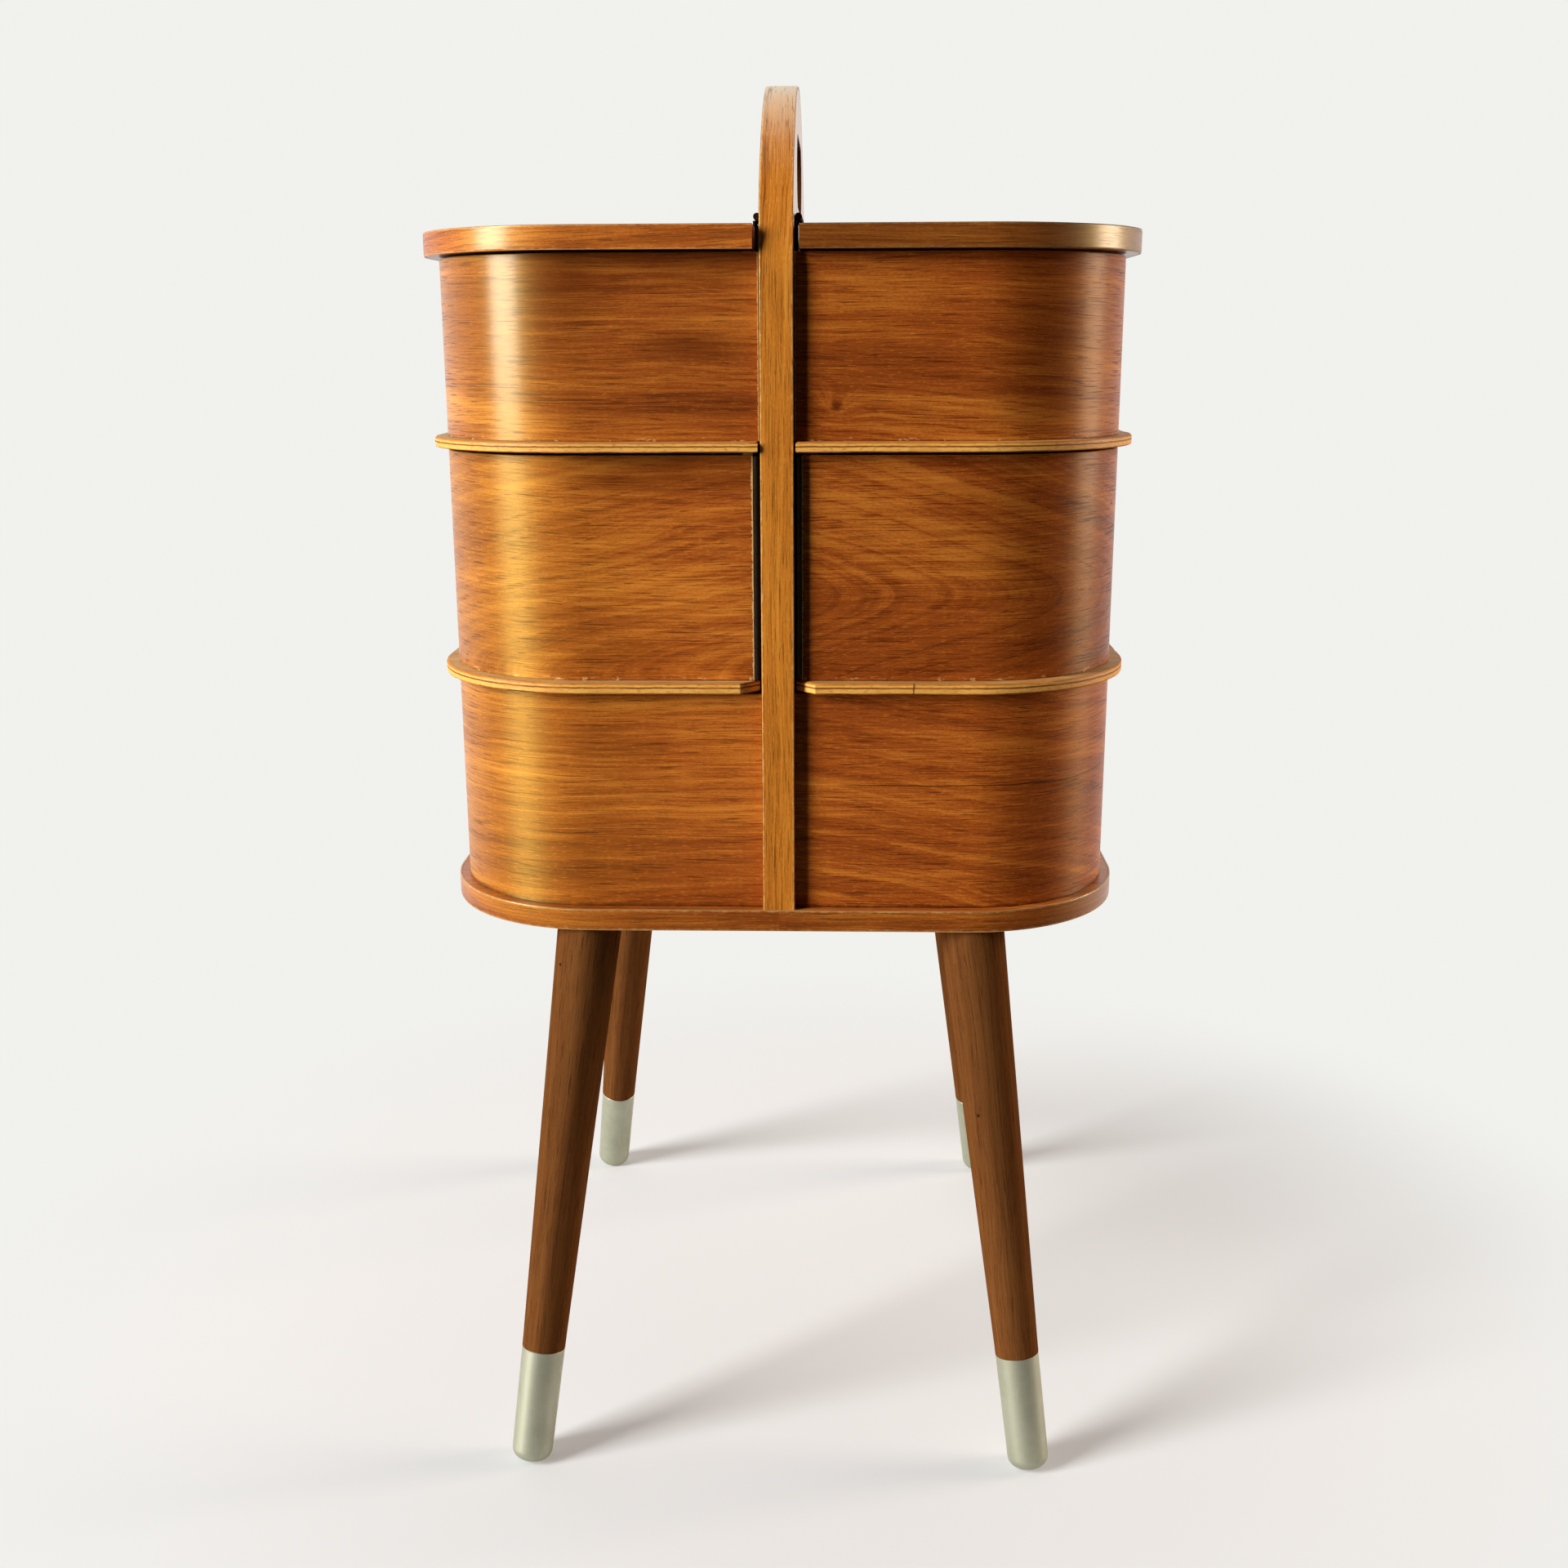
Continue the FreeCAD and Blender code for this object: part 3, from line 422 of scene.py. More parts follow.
    # Painted shade: a dark line along the foot of the sheet, where it meets the part below.
    if foot_shade:
        foot, reach, strength = foot_shade
        edge = s.stirred(height, (rub, reach * 0.9))
        shaded_foot = s.between(edge, foot, foot + reach, strength, 0.0)
        colour = s.blend(shaded_foot, colour, CRACK_AND_SHADE)
    if chipped:
        foot, reach = chipped
        flakes = s.stirred(s.stretched(length, height, 170.0, 420.0, 3.0, 0.7),
                           (s.stretched(length, height, 14.0, 0.0), 0.5))
        low_down = s.between(height, foot + reach * 0.4, foot + reach, 0.7, 0.0)
        flakes = s.math("MULTIPLY", s.between(flakes, 0.58, 0.66), low_down)
        colour = s.blend(flakes, colour, shades[4])
    if worn:
        low, high, width = worn
        edge = s.math("MINIMUM", s.math("SUBTRACT", height, low), s.math("SUBTRACT", high, height))
        edge = s.stirred(edge, (rub, width * 2.2))
        colour = s.blend(s.between(edge, 0.0, width, 0.75, 0.0), colour, shades[4])
    if torn:
        edge = s.stirred(length, (s.stretched(length, height, 300.0, 420.0, 3.0, 0.7), torn * 3.2))
        colour = s.blend(s.between(edge, torn * 0.7, torn, 0.9, 0.0), colour, shades[4])
    # Pale patch on top of the handle: finish worn off by hands, and a painted highlight.
    if grip_wear_and_highlight:
        grip, reach = grip_wear_and_highlight
        away = s.math("ABSOLUTE", s.math("SUBTRACT", length, grip))
        bare = s.between(s.stirred(away, (slow, reach * 0.5)), reach * 0.4, reach, 0.70, 0.0)
        bare = s.math("MULTIPLY", bare, s.math("SUBTRACT", 1.0, pores))
        colour = s.blend(bare, colour, tone(0.66, 0.55, 0.36))
    for mark in marks:
        pit = s.between(s.distance(length, height, mark), mark[2] * 0.6, mark[2], 0.9, 0.0)
        colour = s.blend(pit, colour, tone(0.015, 0.006, 0.002))
    rough = s.math("MULTIPLY_ADD", pores, 0.18, s.stirred(roughness, (fibres, 0.14), (slow, 0.10)))
    relief = s.math("MULTIPLY_ADD", pores, -1.0, s.math("MULTIPLY", fibres, 0.5))
    s.shader.inputs["Specular IOR Level"].default_value = shine
    s.shader.inputs["Specular Tint"].default_value = tone(1.0, 0.84, 0.14)
    s.shader.inputs["Anisotropic"].default_value = silk
    s.shader.inputs["Anisotropic Rotation"].default_value = 0.25
    s.shader.inputs["Coat Weight"].default_value = gloss
    s.shader.inputs["Coat Roughness"].default_value = 0.22
    return s.finish(colour, rough, relief, 0.00012, 0.35)


RED_TEAK = (tone(0.165, 0.029, 0.005), tone(0.385, 0.083, 0.011), tone(0.720, 0.240, 0.030),
            tone(0.120, 0.019, 0.003), tone(0.780, 0.460, 0.170))

low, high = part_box("base_edge_band")
core_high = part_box("base_panel")[1]
band = high.x - core_high.x
base_radius, base_arris, strip_arris = 0.0665, 0.0001, 0.0007
base_loop = [point[:2] for point in ring_path(core_high.x, core_high.y, base_radius - band)]
base_faces = wood("base_veneer", RED_TEAK, shift=1.3, heart=0.13, roughness=0.42)
build("base_panel_veneered", slab(base_loop, low.z, high.z, base_arris), [base_faces], "frame",
      ["base_panel"])
base_edge = wood("base_edge_veneer", RED_TEAK, shift=0.4, heart=0.05, rings=220.0, depth=0.75,
                 worn=(low.z, high.z, 0.0009))
base_strip = sweep(ring_path(high.x, high.y, base_radius),
                   eased_section(low.z, high.z, band, strip_arris), closed=True)
build("base_edge_strip", base_strip, [base_edge], "frame", ["base_edge_band"])


# Legs: four tapered turnings of stained hardwood, splayed to the corners and cut level under the base.
# Each is screwed up by a hanger bolt into a tee nut in the base, and stands in a closed metal ferrule.

TURN_STEPS = 56


def turned(profile):
    """A turned shape: a profile of (radius, height) spun about Z."""
    shape = Shape()
    rings = []
    widest = max(radius for radius, height in profile)
    for radius, height in profile:
        rings.append(len(shape.points))
        if radius == 0:
            shape.points.append((0, 0, height))
            continue
        for i in range(TURN_STEPS):
            angle = 2 * math.pi * i / TURN_STEPS
            shape.points.append((radius * math.cos(angle), radius * math.sin(angle), height))
    for k, ((r1, h1), (r2, h2)) in enumerate(zip(profile, profile[1:])):
        a, b = rings[k], rings[k + 1]
        width = 2 * math.pi * widest / TURN_STEPS
        for i in range(TURN_STEPS):
            j = (i + 1) % TURN_STEPS
            corners = ([a] if r1 == 0 else [a + i, a + j]) + ([b] if r2 == 0 else [b + j, b + i])
            around = ([i] if r1 == 0 else [i, i + 1]) + ([i] if r2 == 0 else [i + 1, i])
            along = [h1] * (1 if r1 == 0 else 2) + [h2] * (1 if r2 == 0 else 2)
            shape.face(corners, [(h, n * width) for h, n in zip(along, around)], SIDE)
    return shape


def metal(name, colour, dark, roughness, scratches=0.25, scale=1.0, bare=0.75, shine=0.5):
    """Dull metal with blotches, fine scratches and darker handling marks. Bare is how metallic it looks."""
    s = Surface(name)
    place = s.add("TexCoord", {}).outputs["Object"]

    def clouds(per_metre, detail):
        inputs = {"Vector": place, "Scale": per_metre * scale, "Detail": detail, "Roughness": 0.6}
        return s.add("TexNoise", inputs).outputs[0]

    wide, fine = clouds(90.0, 5.0), clouds(900.0, 3.0)
    lines = s.add("Mapping", {"Vector": place, "Rotation": (0.5, 0.9, 0.3), "Scale": (2600.0, 60.0, 60.0)})
    scratch = s.add("TexNoise", {"Vector": lines.outputs[0], "Scale": scale, "Detail": 1.0}).outputs[0]
    scratch = s.between(scratch, 0.66, 0.74)
    mixed = s.blend(s.between(wide, 0.35, 0.70), colour, dark)
    pale = tone(*[min(1.0, channel * 1.5) for channel in colour[:3]])
    mixed = s.blend(s.math("MULTIPLY", scratch, scratches), mixed, pale)
    rough = s.math("MULTIPLY_ADD", s.math("SUBTRACT", wide, 0.5), 0.25, roughness)
    s.shader.inputs["Metallic"].default_value = bare
    s.shader.inputs["Specular IOR Level"].default_value = shine
    return s.finish(mixed, rough, s.math("MULTIPLY_ADD", scratch, -0.6, fine), 0.00006, 0.25)


BROWN_TEAK = (tone(0.080, 0.028, 0.008), tone(0.126, 0.045, 0.012), tone(0.175, 0.068, 0.019),
              tone(0.055, 0.018, 0.005), tone(0.400, 0.200, 0.070))
LEG_TURNS = {"left": 0.4, "right": 1.9}
LEG_HOLES = {"front_left": [(0.2176, 0.0252, 0.0009)], "front_right": [(0.1549, 0.0794, 0.0009)]}
ferrule_metal = metal("ferrule_metal", tone(0.445, 0.450, 0.338), tone(0.370, 0.375, 0.278), 0.46)
steel = metal("fastener_steel", tone(0.52, 0.50, 0.47), tone(0.36, 0.34, 0.31), 0.42)
base_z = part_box("base_panel")[0].z
leg_top = Vector((0.080, 0.092, base_z))
leg_foot = Vector((0.1065, 0.1385, 0.0))
leg_length = (leg_top - leg_foot).length
leg_radius, tenon_length, tenon_inset = 0.0135, 0.004, 0.001
ferrule_tip, ferrule_mouth, ferrule_wall, end_round, rim_round = 0.0086, 0.0091, 0.0009, 0.005, 0.0003
ferrule_length, ferrule_taper, ferrule_floor, foot_flat = 0.049, 0.0435, 0.0055, 0.0003
lean = math.acos((leg_top - leg_foot).normalized().z)
closed_end = (end_round - foot_flat + (ferrule_tip - end_round) * math.sin(lean)) / math.cos(lean) - end_round
mouth = closed_end + ferrule_length
for end, y_sign in (("front", -1), ("rear", 1)):
    for side, x_sign in (("left", -1), ("right", 1)):
        corner = "%s_%s" % (end, side)
        foot = Vector((leg_foot.x * x_sign, leg_foot.y * y_sign, 0))
        top = Vector((leg_top.x * x_sign, leg_top.y * y_sign, base_z))
        spin = Matrix.Rotation(LEG_TURNS[side] + y_sign, 4, "Z")
        stance = Matrix.Translation(foot) @ (top - foot).to_track_quat("Z", "Y").to_matrix().to_4x4() @ spin
        profile = [(0.0, mouth - tenon_length), (ferrule_mouth - tenon_inset, mouth - tenon_length),
                   (ferrule_mouth - tenon_inset, mouth - 0.0001), (ferrule_mouth - 0.0001, mouth),
                   (ferrule_mouth + 0.00005, mouth + 0.0003)]
        profile += [(ferrule_mouth + (leg_radius - ferrule_mouth) * t,
                     mouth + 0.0004 + (leg_length - mouth) * t) for t in (0.02, 0.25, 0.5, 0.75, 1.0)]
        profile.append((0.0, leg_length))
        leg = Shape().join(turned(profile), stance)
        axis = (top - foot).normalized()
        lifted = []
        # The last ring and the point at its centre are the top of the leg, cut level under the base.
        for number, point in enumerate(leg.points):
            spot = Vector(point)
            if number >= len(leg.points) - TURN_STEPS - 1:
                spot += axis * ((base_z - spot.z) / axis.z)
            lifted.append(tuple(spot))
        leg.points = lifted
        leg_wood = wood(corner + "_leg_wood", BROWN_TEAK, shift=0.2, heart=0.11, taper=0.03, rings=170.0,
                        roughness=0.55, gloss=0.0, shine=0.0, marks=LEG_HOLES.get(corner, ()))
        build(corner + "_leg_turning", leg, [leg_wood], "frame", [corner + "_leg"])
        cup = [(0.0, closed_end)]
        for a in [math.radians(10 * i) for i in range(10)]:
            cup.append((ferrule_tip - end_round + end_round * math.sin(a),
                        closed_end + end_round * (1 - math.cos(a))))
        cup += [(ferrule_tip + (ferrule_mouth - ferrule_tip) * t, closed_end + end_round + ferrule_taper * t)
                for t in (0.1, 0.4, 0.7, 1.0)]
        cup += [(ferrule_mouth, mouth - rim_round), (ferrule_mouth - rim_round, mouth),
                (ferrule_mouth - ferrule_wall + 0.0001, mouth),
                (ferrule_mouth - ferrule_wall, mouth - rim_round),
                (ferrule_tip - ferrule_wall - rim_round, closed_end + ferrule_floor),
                (0.0, closed_end + ferrule_floor)]
        ferrule = Shape().join(turned(cup), stance)
        ferrule.points = [(x, y, max(z, 0.0)) for x, y, z in ferrule.points]
        build(corner + "_ferrule_cup", ferrule, [ferrule_metal], "frame", [corner + "_ferrule"])
for name in ("leg_studs", "leg_tee_nuts", "board_screws"):
    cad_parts[name].data.materials.clear()
    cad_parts[name].data.materials.append(steel)


# Centre board: one upright plywood board, veneered on both faces, on which everything hangs.
# Its arched top, with a slot for the hand, is the handle, and a strip of golden teak covers its edge.

def upright(y, z, x):
    return (x, y, z)


def arch_path(half_span, foot, spring, corner, crown_radius, crown_top):
    """The line over the board, from its front foot over the handle to its rear foot."""
    centre_y = half_span - corner
    crown_z = crown_top - crown_radius
    lean = math.degrees(math.atan2(spring - crown_z, centre_y))
    path = straight((half_span, foot), (half_span, spring), (-1, 0))
    path += bend((centre_y, spring), corner, 0, lean, 2.0)
    path += bend((0, crown_z), crown_radius, lean, 180 - lean, 1.0)
    path += bend((-centre_y, spring), corner, 180 - lean, 180, 2.0)
    path += straight((-half_span, spring), (-half_span, foot), (1, 0))
    path.append((-half_span, foot, 1, 0))
    return [(-y, z, -ny, nz) for y, z, ny, nz in path]


GOLD_TEAK = (tone(0.300, 0.076, 0.008), tone(0.600, 0.195, 0.020), tone(0.840, 0.360, 0.048),
             tone(0.160, 0.037, 0.003), tone(0.860, 0.540, 0.190))

low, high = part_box("board_edge_band")
board_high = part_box("centre_board")[1]
board_face = board_high.x
strip = high.y - board_high.y
arch_rise, shoulder, board_arris = 0.078, 0.021, 0.0006
spring = high.z - arch_rise
corner_radius = arch_rise - shoulder
crown = (high.y ** 2 + arch_rise ** 2 - 2 * high.y * corner_radius) / (2 * shoulder)
board_line = arch_path(board_high.y, low.z, spring, corner_radius - strip, crown - strip, high.z - strip)
slot_half, slot_round, slot_drop = 0.026, 0.014, 0.0355
slot_z = high.z - slot_drop
slot_line = [point[:2] for point in bend((slot_half, slot_z), slot_round, -90, 90, 6)]
slot_line += [point[:2] for point in bend((-slot_half, slot_z), slot_round, 90, 270, 6)]
board_faces = wood("board_veneer", RED_TEAK, shift=0.7, heart=0.21, roughness=0.34, gloss=0.9)
# The walls of the hand slot are darkened with painted shade.
slot_wall_shade = wood("slot_wall_shade", BROWN_TEAK, shift=0.9, heart=0.3, roughness=0.7, depth=0.35, gloss=0.0,
                 shine=0.1)
board = slab([point[:2] for point in board_line], -board_face, board_face, board_arris, upright,
             lambda y, z: (z, y), hole=slot_line)
build("centre_board_veneered", board, [board_faces, board_faces, board_faces, slot_wall_shade], "frame",
      ["centre_board"])
strip_line = arch_path(high.y, low.z, spring, corner_radius, crown, high.z)
top_of_handle = measured(strip_line)[-1][4] / 2
# The top of the handle carries a pale patch of wear and painted highlight.
board_edge = wood("board_edge_veneer", GOLD_TEAK, shift=2.1, heart=0.06, taper=0.02, rings=260.0,
                  roughness=0.38, worn=(-board_face, board_face, 0.0008), grip_wear_and_highlight=(top_of_handle, 0.085))
board_strip = sweep(strip_line, eased_section(-board_face, board_face, strip, board_arris), place=upright)
build("board_edge_strip", board_strip, [board_edge], "frame", ["board_edge_band"])


# Fixed bottom boxes: a sheet of teak-faced plywood bent round each half, glued to base and board.
# The grain runs round the bend, and the upper rim shows the edges of the plies.

PALE, BROWN = tone(0.84, 0.43, 0.085), tone(0.25, 0.068, 0.008)


def plies(name, low, thickness, layers, crack=None):
    """The bare edge of plywood: layers of colour from the bottom up, with glue lines and small tears.

    Layers gives the share of the thickness at which each layer ends, and its colour. Crack is the place
    along the edge of a short upright split.
    """
    s = Surface(name)
    split = s.add("SeparateXYZ", {0: s.add("UVMap", {}, uv_map="grain").outputs[0]})
    length, height = split.outputs[0], split.outputs[1]
    fray = s.stretched(length, height, 160.0, 700.0, 3.0, 0.6)
    lift = s.stretched(length, height, 12.0, 0.0)
    level = s.math("DIVIDE", s.math("SUBTRACT", height, low), thickness)
    level = s.stirred(level, (fray, 0.12), (lift, 0.10))
    stops = []
    start = 0.0
    for end, colour in layers:
        stops += [(start + 0.03, colour), (end - 0.03, colour)]
        start = end
    colour = s.ramp(level, stops)
    specks = s.between(s.stretched(length, height, 420.0, 1500.0, 2.0), 0.55, 0.70)
    colour = s.blend(s.math("MULTIPLY", specks, 0.35), colour, BROWN)
    patches = s.between(s.stretched(length, height, 45.0, 120.0, 3.0), 0.56, 0.70)
    colour = s.blend(s.math("MULTIPLY", patches, 0.35), colour, tone(0.60, 0.24, 0.036))
    if crack:
        off = s.math("ABSOLUTE", s.math("SUBTRACT", s.stirred(length, (fray, 0.0008)), crack))
        colour = s.blend(s.between(off, 0.00015, 0.0004, 0.85, 0.0), colour, tone(0.050, 0.016, 0.004))
    s.shader.inputs["Specular IOR Level"].default_value = 0.25
    return s.finish(colour, 0.55, fray, 0.0003, 0.5)


RIM_LAYERS = [(0.33, PALE), (0.66, BROWN), (1.0, PALE)]
SHEET, SHEET_ARRIS, BEND_RADIUS = 0.004, 0.0004, 0.062
PALE_PLY = (tone(0.330, 0.160, 0.050), tone(0.550, 0.320, 0.120), tone(0.720, 0.480, 0.220),
            tone(0.270, 0.120, 0.036), tone(0.720, 0.500, 0.240))
inside_ply = wood("inside_ply", PALE_PLY, shift=3.0, heart=0.18, taper=0.05, rings=90.0, roughness=0.55,
                  gloss=0.0)


def shell(name, node, body, side, front_gap, rear_gap, faces, drop):
    """One bent sheet round half of the box, with its ends near the board and its rim a little low."""
    low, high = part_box(node)
    reach = max(abs(low.x), abs(high.x))
    path = half_path(side, board_face + front_gap, board_face + rear_gap, reach, high.y, BEND_RADIUS)
    shape = sweep(path, eased_section(low.z, high.z - drop, SHEET, SHEET_ARRIS))
    edge = plies(name + "_plies", 0.0, SHEET, RIM_LAYERS)
    build(name, shape, [faces, inside_ply, edge, edge], body, [node])


# The sheets on the left gleam more than those on the right.
SILK = 0.80
SHEEN = {"left": 0.75, "right": 0.22}
# The left bottom sheet has a golden sheen painted into its colour.
BOTTOM_FIGURES = {
    "left": dict(shift=0.3, heart=0.14, taper=0.05, gloss=0.18, painted_sheen=(0.03, 0.13, 0.75)),
    "right": dict(shift=4.1, heart=0.21, taper=0.20, depth=0.92, gloss=0.06, crack=(0.290, 0.016, 0.150)),
}
# Each bottom sheet has painted shade along its foot on the base.
for side, sign in (("left", -1), ("right", 1)):
    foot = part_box(side + "_bottom_shell")[0].z
    faces = wood(side + "_bottom_veneer", RED_TEAK, silk=SILK, roughness=0.47, shine=SHEEN[side],
                 foot_shade=(foot, 0.0020, 0.95), **BOTTOM_FIGURES[side])
    shell(side + "_bottom_sheet", side + "_bottom_shell", "frame", sign, front_gap=0.0, rear_gap=0.0,
          faces=faces, drop=0.0006)


# Swing-out trays: a thin plywood plate with a bent sheet and a straight wall glued on it, open at the top.
# The plate stands out on three sides as a lip, with bare ply edges that are worn and nicked by use.

POINTS_PER_CHIP, CHIP_DEPTHS = 9, (0.0002, 0.0009)


def nicked(seed, count):
    """Depths of small nicks along the upper and lower arris of an edge, none on its upright face."""
    pick = random.Random(seed)
    depths = [[0.0] * count for level in range(2)]
    for arris in depths:
        for chip in range(count // POINTS_PER_CHIP):
            middle, size = pick.randrange(count), pick.choice((0, 0, 1, 1, 2))
            depth = pick.uniform(*CHIP_DEPTHS)
            for i in range(middle - size, middle + size + 1):
                arris[i % count] = max(arris[i % count], depth * pick.uniform(0.5, 1.0))

    def depth(i, ring):
        if ring in (2, 3):
            return 0.0
        return depths[0 if ring < 2 else 1][i]
    return depth


PLATE_GAP, PLATE_LIP, PLATE_RADIUS, PLATE_ARRIS = 0.0008, 0.0054, 0.0674, 0.0006
HINGE_GAP, FREE_GAP = 0.003, 0.0004


def plate_loop(side, end, reach_x, reach_y, radius):
    """Outline of a tray's plate, clipped beside its hinge."""
    clip_x = board_face + HINGE_GAP + PLATE_LIP
    clip_y = reach_y - PLATE_LIP - HINGE_GAP + PLATE_GAP
    inner = board_face + PLATE_GAP
    path = half_path(1, clip_x, inner, reach_x, reach_y, radius)
    loop = [(x, y) for x, y, nx, ny in path]
    loop += [point[:2] for point in straight((inner, reach_y), (inner, -clip_y), (0, 0), step=0.02)][1:]
    loop.append((inner, -clip_y))
    return [(x * side, y * -end) for x, y in loop]


FRONT, REAR = -1, 1
PLATE_LAYERS = [(0.13, tone(0.45, 0.140, 0.018)), (0.50, PALE), (0.65, BROWN), (0.84, PALE),
                (1.0, tone(0.52, 0.185, 0.026))]
# The shade patches in these figures are painted shade, and the left sheets have a golden sheen painted in.
TRAY_FIGURES = {
    "left_middle": dict(shift=1.9, heart=0.335, taper=0.20, gloss=0.20, painted_sheen=(0.03, 0.13, 0.80),
                        shade_patches=[(0.040, 0.421, 0.055, 0.017, 0.6)]),
    "right_middle": dict(shift=0.9, heart=0.367, taper=0.26, depth=0.82, gloss=0.06,
                         marks=[(0.142, 0.400, 0.0012)], shade_patches=[(0.070, 0.402, 0.028, 0.036, 0.35)]),
    "left_top": dict(shift=2.7, heart=0.56, taper=0.06, depth=0.84, painted_sheen=(0.06, 0.14, 0.60),
                     shade_patches=[(0.080, 0.490, 0.030, 0.032, 0.6), (0.035, 0.497, 0.060, 0.018, 0.5),
                             (0.025, 0.463, 0.024, 0.008, 0.5)]),
    "right_top": dict(shift=5.2, heart=0.40, taper=0.10, depth=0.80, gloss=0.06,
                      knot=(0.016, 0.4405, 0.003), shade_patches=[(0.098, 0.470, 0.024, 0.060, 0.4)]),
}
PLATE_CRACKS = {"right_middle": 0.039}
plate_face = wood("plate_face", PALE_PLY, shift=0.8, heart=0.2, taper=0.07, rings=90.0, roughness=0.55,
                  gloss=0.0)
for tier, hinge_end in (("middle", FRONT), ("top", REAR)):
    for side, sign in (("left", -1), ("right", 1)):
        tray = "%s_%s" % (side, tier)
        body = tray + "_tray"
        low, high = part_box(tray + "_plate")
        loop = plate_loop(sign, hinge_end, max(abs(low.x), abs(high.x)), high.y, PLATE_RADIUS)
        loop = anticlockwise(loop)
        edge = plies(tray + "_plate_plies", low.z, high.z - low.z, PLATE_LAYERS, PLATE_CRACKS.get(tray))
        build(tray + "_plate_board", slab(loop, low.z, high.z, PLATE_ARRIS, nicks=nicked(tray, len(loop))),
              [edge, plate_face, plate_face], body, [tray + "_plate"])
        torn = 0.0006 if tier == "middle" else 0.0004
        # Each tray sheet has painted shade along its foot on the plate.
        faces = wood(tray + "_veneer", RED_TEAK, silk=SILK, roughness=0.47, shine=SHEEN[side], torn=torn,
                     foot_shade=(high.z, 0.0009, 0.6), chipped=(high.z, 0.0022), **TRAY_FIGURES[tray])
        gaps = (HINGE_GAP, FREE_GAP) if hinge_end == FRONT else (FREE_GAP, HINGE_GAP)
        drop = 0.0008 if tier == "middle" else 0.0004
        shell(tray + "_sheet", tray + "_shell", body, sign, gaps[0], gaps[1], faces, drop)
        low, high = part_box(tray + "_inner_wall")
        wall = [(low.x, low.y), (high.x, low.y), (high.x, high.y), (low.x, high.y)]
        sheet = slab(wall, low.z, high.z, SHEET_ARRIS, grain=lambda x, y: (y, x))
        wall_faces = wood(tray + "_wall_ply", PALE_PLY, shift=low.z * 9, heart=0.6, taper=0.05, rings=90.0,
                          roughness=0.55, gloss=0.0)
        build(tray + "_straight_wall", sheet, [wall_faces], body, [tray + "_inner_wall"])


# Lids: two flat plywood panels, veneered, with a teak strip round their three free edges.
# Each closes one half of the top tier, and hangs on two butt hinges on the board.

lid_radius, lid_arris, lid_closer = 0.068, 0.0002, 0.00075
for side, sign in (("left", -1), ("right", 1)):
    low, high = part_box(side + "_lid_edge_band")
    panel_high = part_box(side + "_lid_panel")[1]
    reach = max(abs(low.x), abs(high.x))
    inner = min(abs(low.x), abs(high.x)) - lid_closer
    lid_line = half_path(sign, inner, inner, reach - band, panel_high.y, lid_radius - band)
    lid_veneer = wood(side + "_lid_veneer", RED_TEAK, shift=1.1 + sign, heart=0.02, taper=0.09,
                      roughness=0.34)
    lid_board = slab([point[:2] for point in lid_line], low.z, high.z, lid_arris)
    build(side + "_lid_board", lid_board, [lid_veneer], side + "_lid", [side + "_lid_panel"])
    lid_edge = wood(side + "_lid_edge_veneer", RED_TEAK, shift=0.5 + sign, heart=0.42, taper=0.02,
                    rings=220.0, depth={"left": 1.05, "right": 0.5}[side], worn=(low.z, high.z, 0.0006))
    lid_strip = sweep(half_path(sign, inner, inner, reach, high.y, lid_radius),
                      eased_section(low.z, high.z, band, strip_arris))
    build(side + "_lid_edge_strip", lid_strip, [lid_edge], side + "_lid", [side + "_lid_edge_band"])


# Hinges: blackened steel leaves rolled into knuckles round a wire pin, held by small countersunk screws.
# A strip hinge runs the height of each tray at the board, and two butt hinges carry each lid.

hinge_steel = metal("hinge_steel", tone(0.016, 0.009, 0.005), tone(0.008, 0.005, 0.003), 0.62, scratches=0.5,
                    scale=3.0, bare=0.0, shine=0.05)
for name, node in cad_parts.items():
    if "hinge" in name:
        node.data.materials.clear()
        node.data.materials.append(steel if name.endswith("screws") else hinge_steel)


# Studio: a pale floor that fades into a white surround, a tall soft light on the left and a weak, low one
# on the right. The camera stands where the photograph was taken from.

def in_sight(nodes, toward_back, front, back):
    """One where the white surround shows: to the camera, and to mirror rays that go behind the box."""
    rays = nodes.add("LightPath", {}).outputs
    mirrored = nodes.math("MAXIMUM", rays["Is Glossy Ray"], rays["Is Transmission Ray"])
    mirrored = nodes.math("MULTIPLY", mirrored, nodes.between(toward_back, front, back))
    return nodes.math("MAXIMUM", rays["Is Camera Ray"], mirrored)


floor_half = 6.0
floor_corners = [(x * floor_half, y * floor_half, 0) for x, y in ((-1, -1), (1, -1), (1, 1), (-1, 1))]
floor_mesh = bpy.data.meshes.new("floor")
floor_mesh.from_pydata(floor_corners, [], [(0, 1, 2, 3)])
floor = bpy.data.objects.new("floor", floor_mesh)
bpy.context.scene.collection.objects.link(floor)
white = tone(0.879, 0.879, 0.855)
paper = Surface("paper")
spot = paper.add("TexCoord", {}).outputs["Object"]
sight = in_sight(paper, paper.add("SeparateXYZ", {0: spot}).outputs[1], -0.3, 0.3)
paper.feed(paper.shader.inputs["Emission Color"], white)
paper.feed(paper.shader.inputs["Emission Strength"], paper.math("MULTIPLY", sight, 0.16))
paper.finish(tone(0.610, 0.622, 0.640), 0.9)
away = paper.add("VectorMath", {0: spot}, operation="LENGTH").outputs["Value"]
fade = paper.add("MapRange", {0: away, 1: 0.20, 2: 0.50}, interpolation_type="SMOOTHSTEP").outputs[0]
glow = paper.add("Emission", {0: white, 1: sight}).outputs[0]
mixed = paper.add("MixShader", {0: fade, 1: paper.shader.outputs[0], 2: glow}).outputs[0]
paper.feed(paper.tree.nodes["Material Output"].inputs[0], mixed)
floor_mesh.materials.append(paper.material)

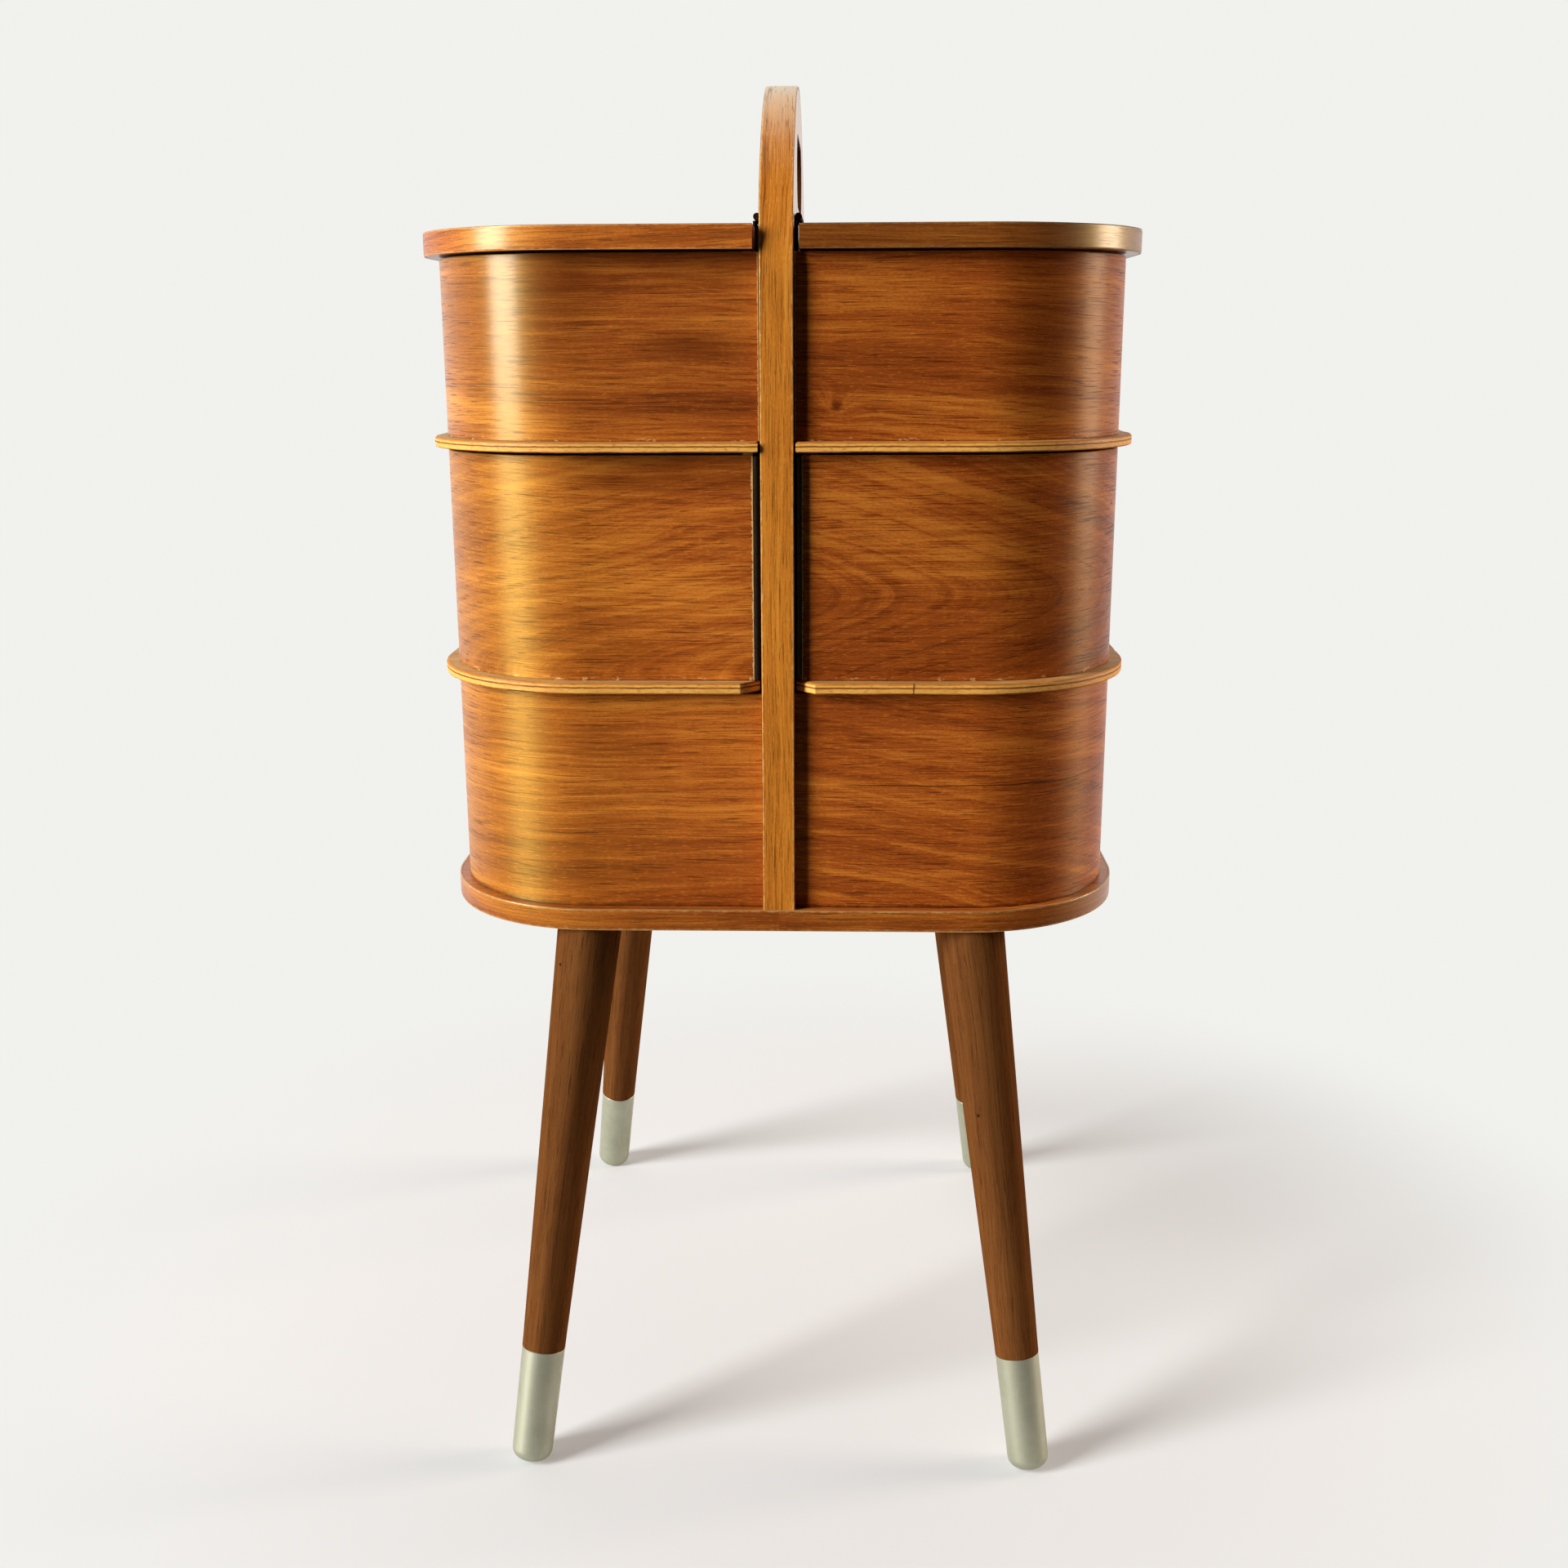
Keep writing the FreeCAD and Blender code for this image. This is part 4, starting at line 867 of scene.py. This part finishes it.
world = bpy.data.worlds.new("surround")
bpy.context.scene.world = world
world.use_nodes = True
room = Nodes(world.node_tree)
direction = room.add("TexCoord", {}).outputs["Generated"]
toward_back = room.add("SeparateXYZ", {0: direction}).outputs[1]
walls = room.add("MapRange", {0: toward_back, 1: -0.2, 2: 0.7, 3: 0.04, 4: 0.80},
                 interpolation_type="SMOOTHSTEP")
dim = room.add("Background", {0: tone(1.0, 0.95, 0.89), 1: walls.outputs[0]}).outputs[0]
seen = room.add("Background", {0: white}).outputs[0]
mixed = room.add("MixShader", {0: in_sight(room, toward_back, -0.2, 0.7), 1: dim, 2: seen}).outputs[0]
room.feed(room.tree.nodes["World Output"].inputs[0], mixed)


def soft_light(name, place, aim, width, height, power, colour):
    light = bpy.data.lights.new(name, "AREA")
    light.shape = "RECTANGLE"
    light.size, light.size_y = width, height
    light.energy = power
    light.color = colour
    lamp = bpy.data.objects.new(name, light)
    lamp.location = place
    lamp.rotation_euler = (Vector(aim) - Vector(place)).to_track_quat("-Z", "Y").to_euler()
    bpy.context.scene.collection.objects.link(lamp)


soft_light("window", place=(-3.99, -2.08, 2.20), aim=(0, 0, 2.20), width=1.7, height=3.8, power=510,
           colour=(1.0, 0.98, 0.95))
soft_light("wall", place=(3.2, 0.45, 0.9), aim=(0, 0, 0.4), width=1.2, height=1.6, power=95,
           colour=(1.0, 0.80, 0.66))

camera = bpy.data.cameras.new("camera")
camera.sensor_width = 36.0
camera.lens = 39.37
eye = bpy.data.objects.new("camera", camera)
stand = Vector((0.0240, -0.7763, 0.4640))
yaw, pitch, roll = -0.0324, 0.2520, 0.0042
forward = Vector((math.sin(yaw) * math.cos(pitch), math.cos(yaw) * math.cos(pitch), -math.sin(pitch)))
level = Vector((math.cos(yaw), -math.sin(yaw), 0))
down = forward.cross(level)
across = level * math.cos(roll) + down * math.sin(roll)
up = level * math.sin(roll) - down * math.cos(roll)
eye.matrix_world = Matrix(((across.x, up.x, -forward.x, stand.x), (across.y, up.y, -forward.y, stand.y),
                           (across.z, up.z, -forward.z, stand.z), (0, 0, 0, 1)))
bpy.context.scene.collection.objects.link(eye)
bpy.context.scene.camera = eye
bpy.context.scene.view_settings.view_transform = "Standard"
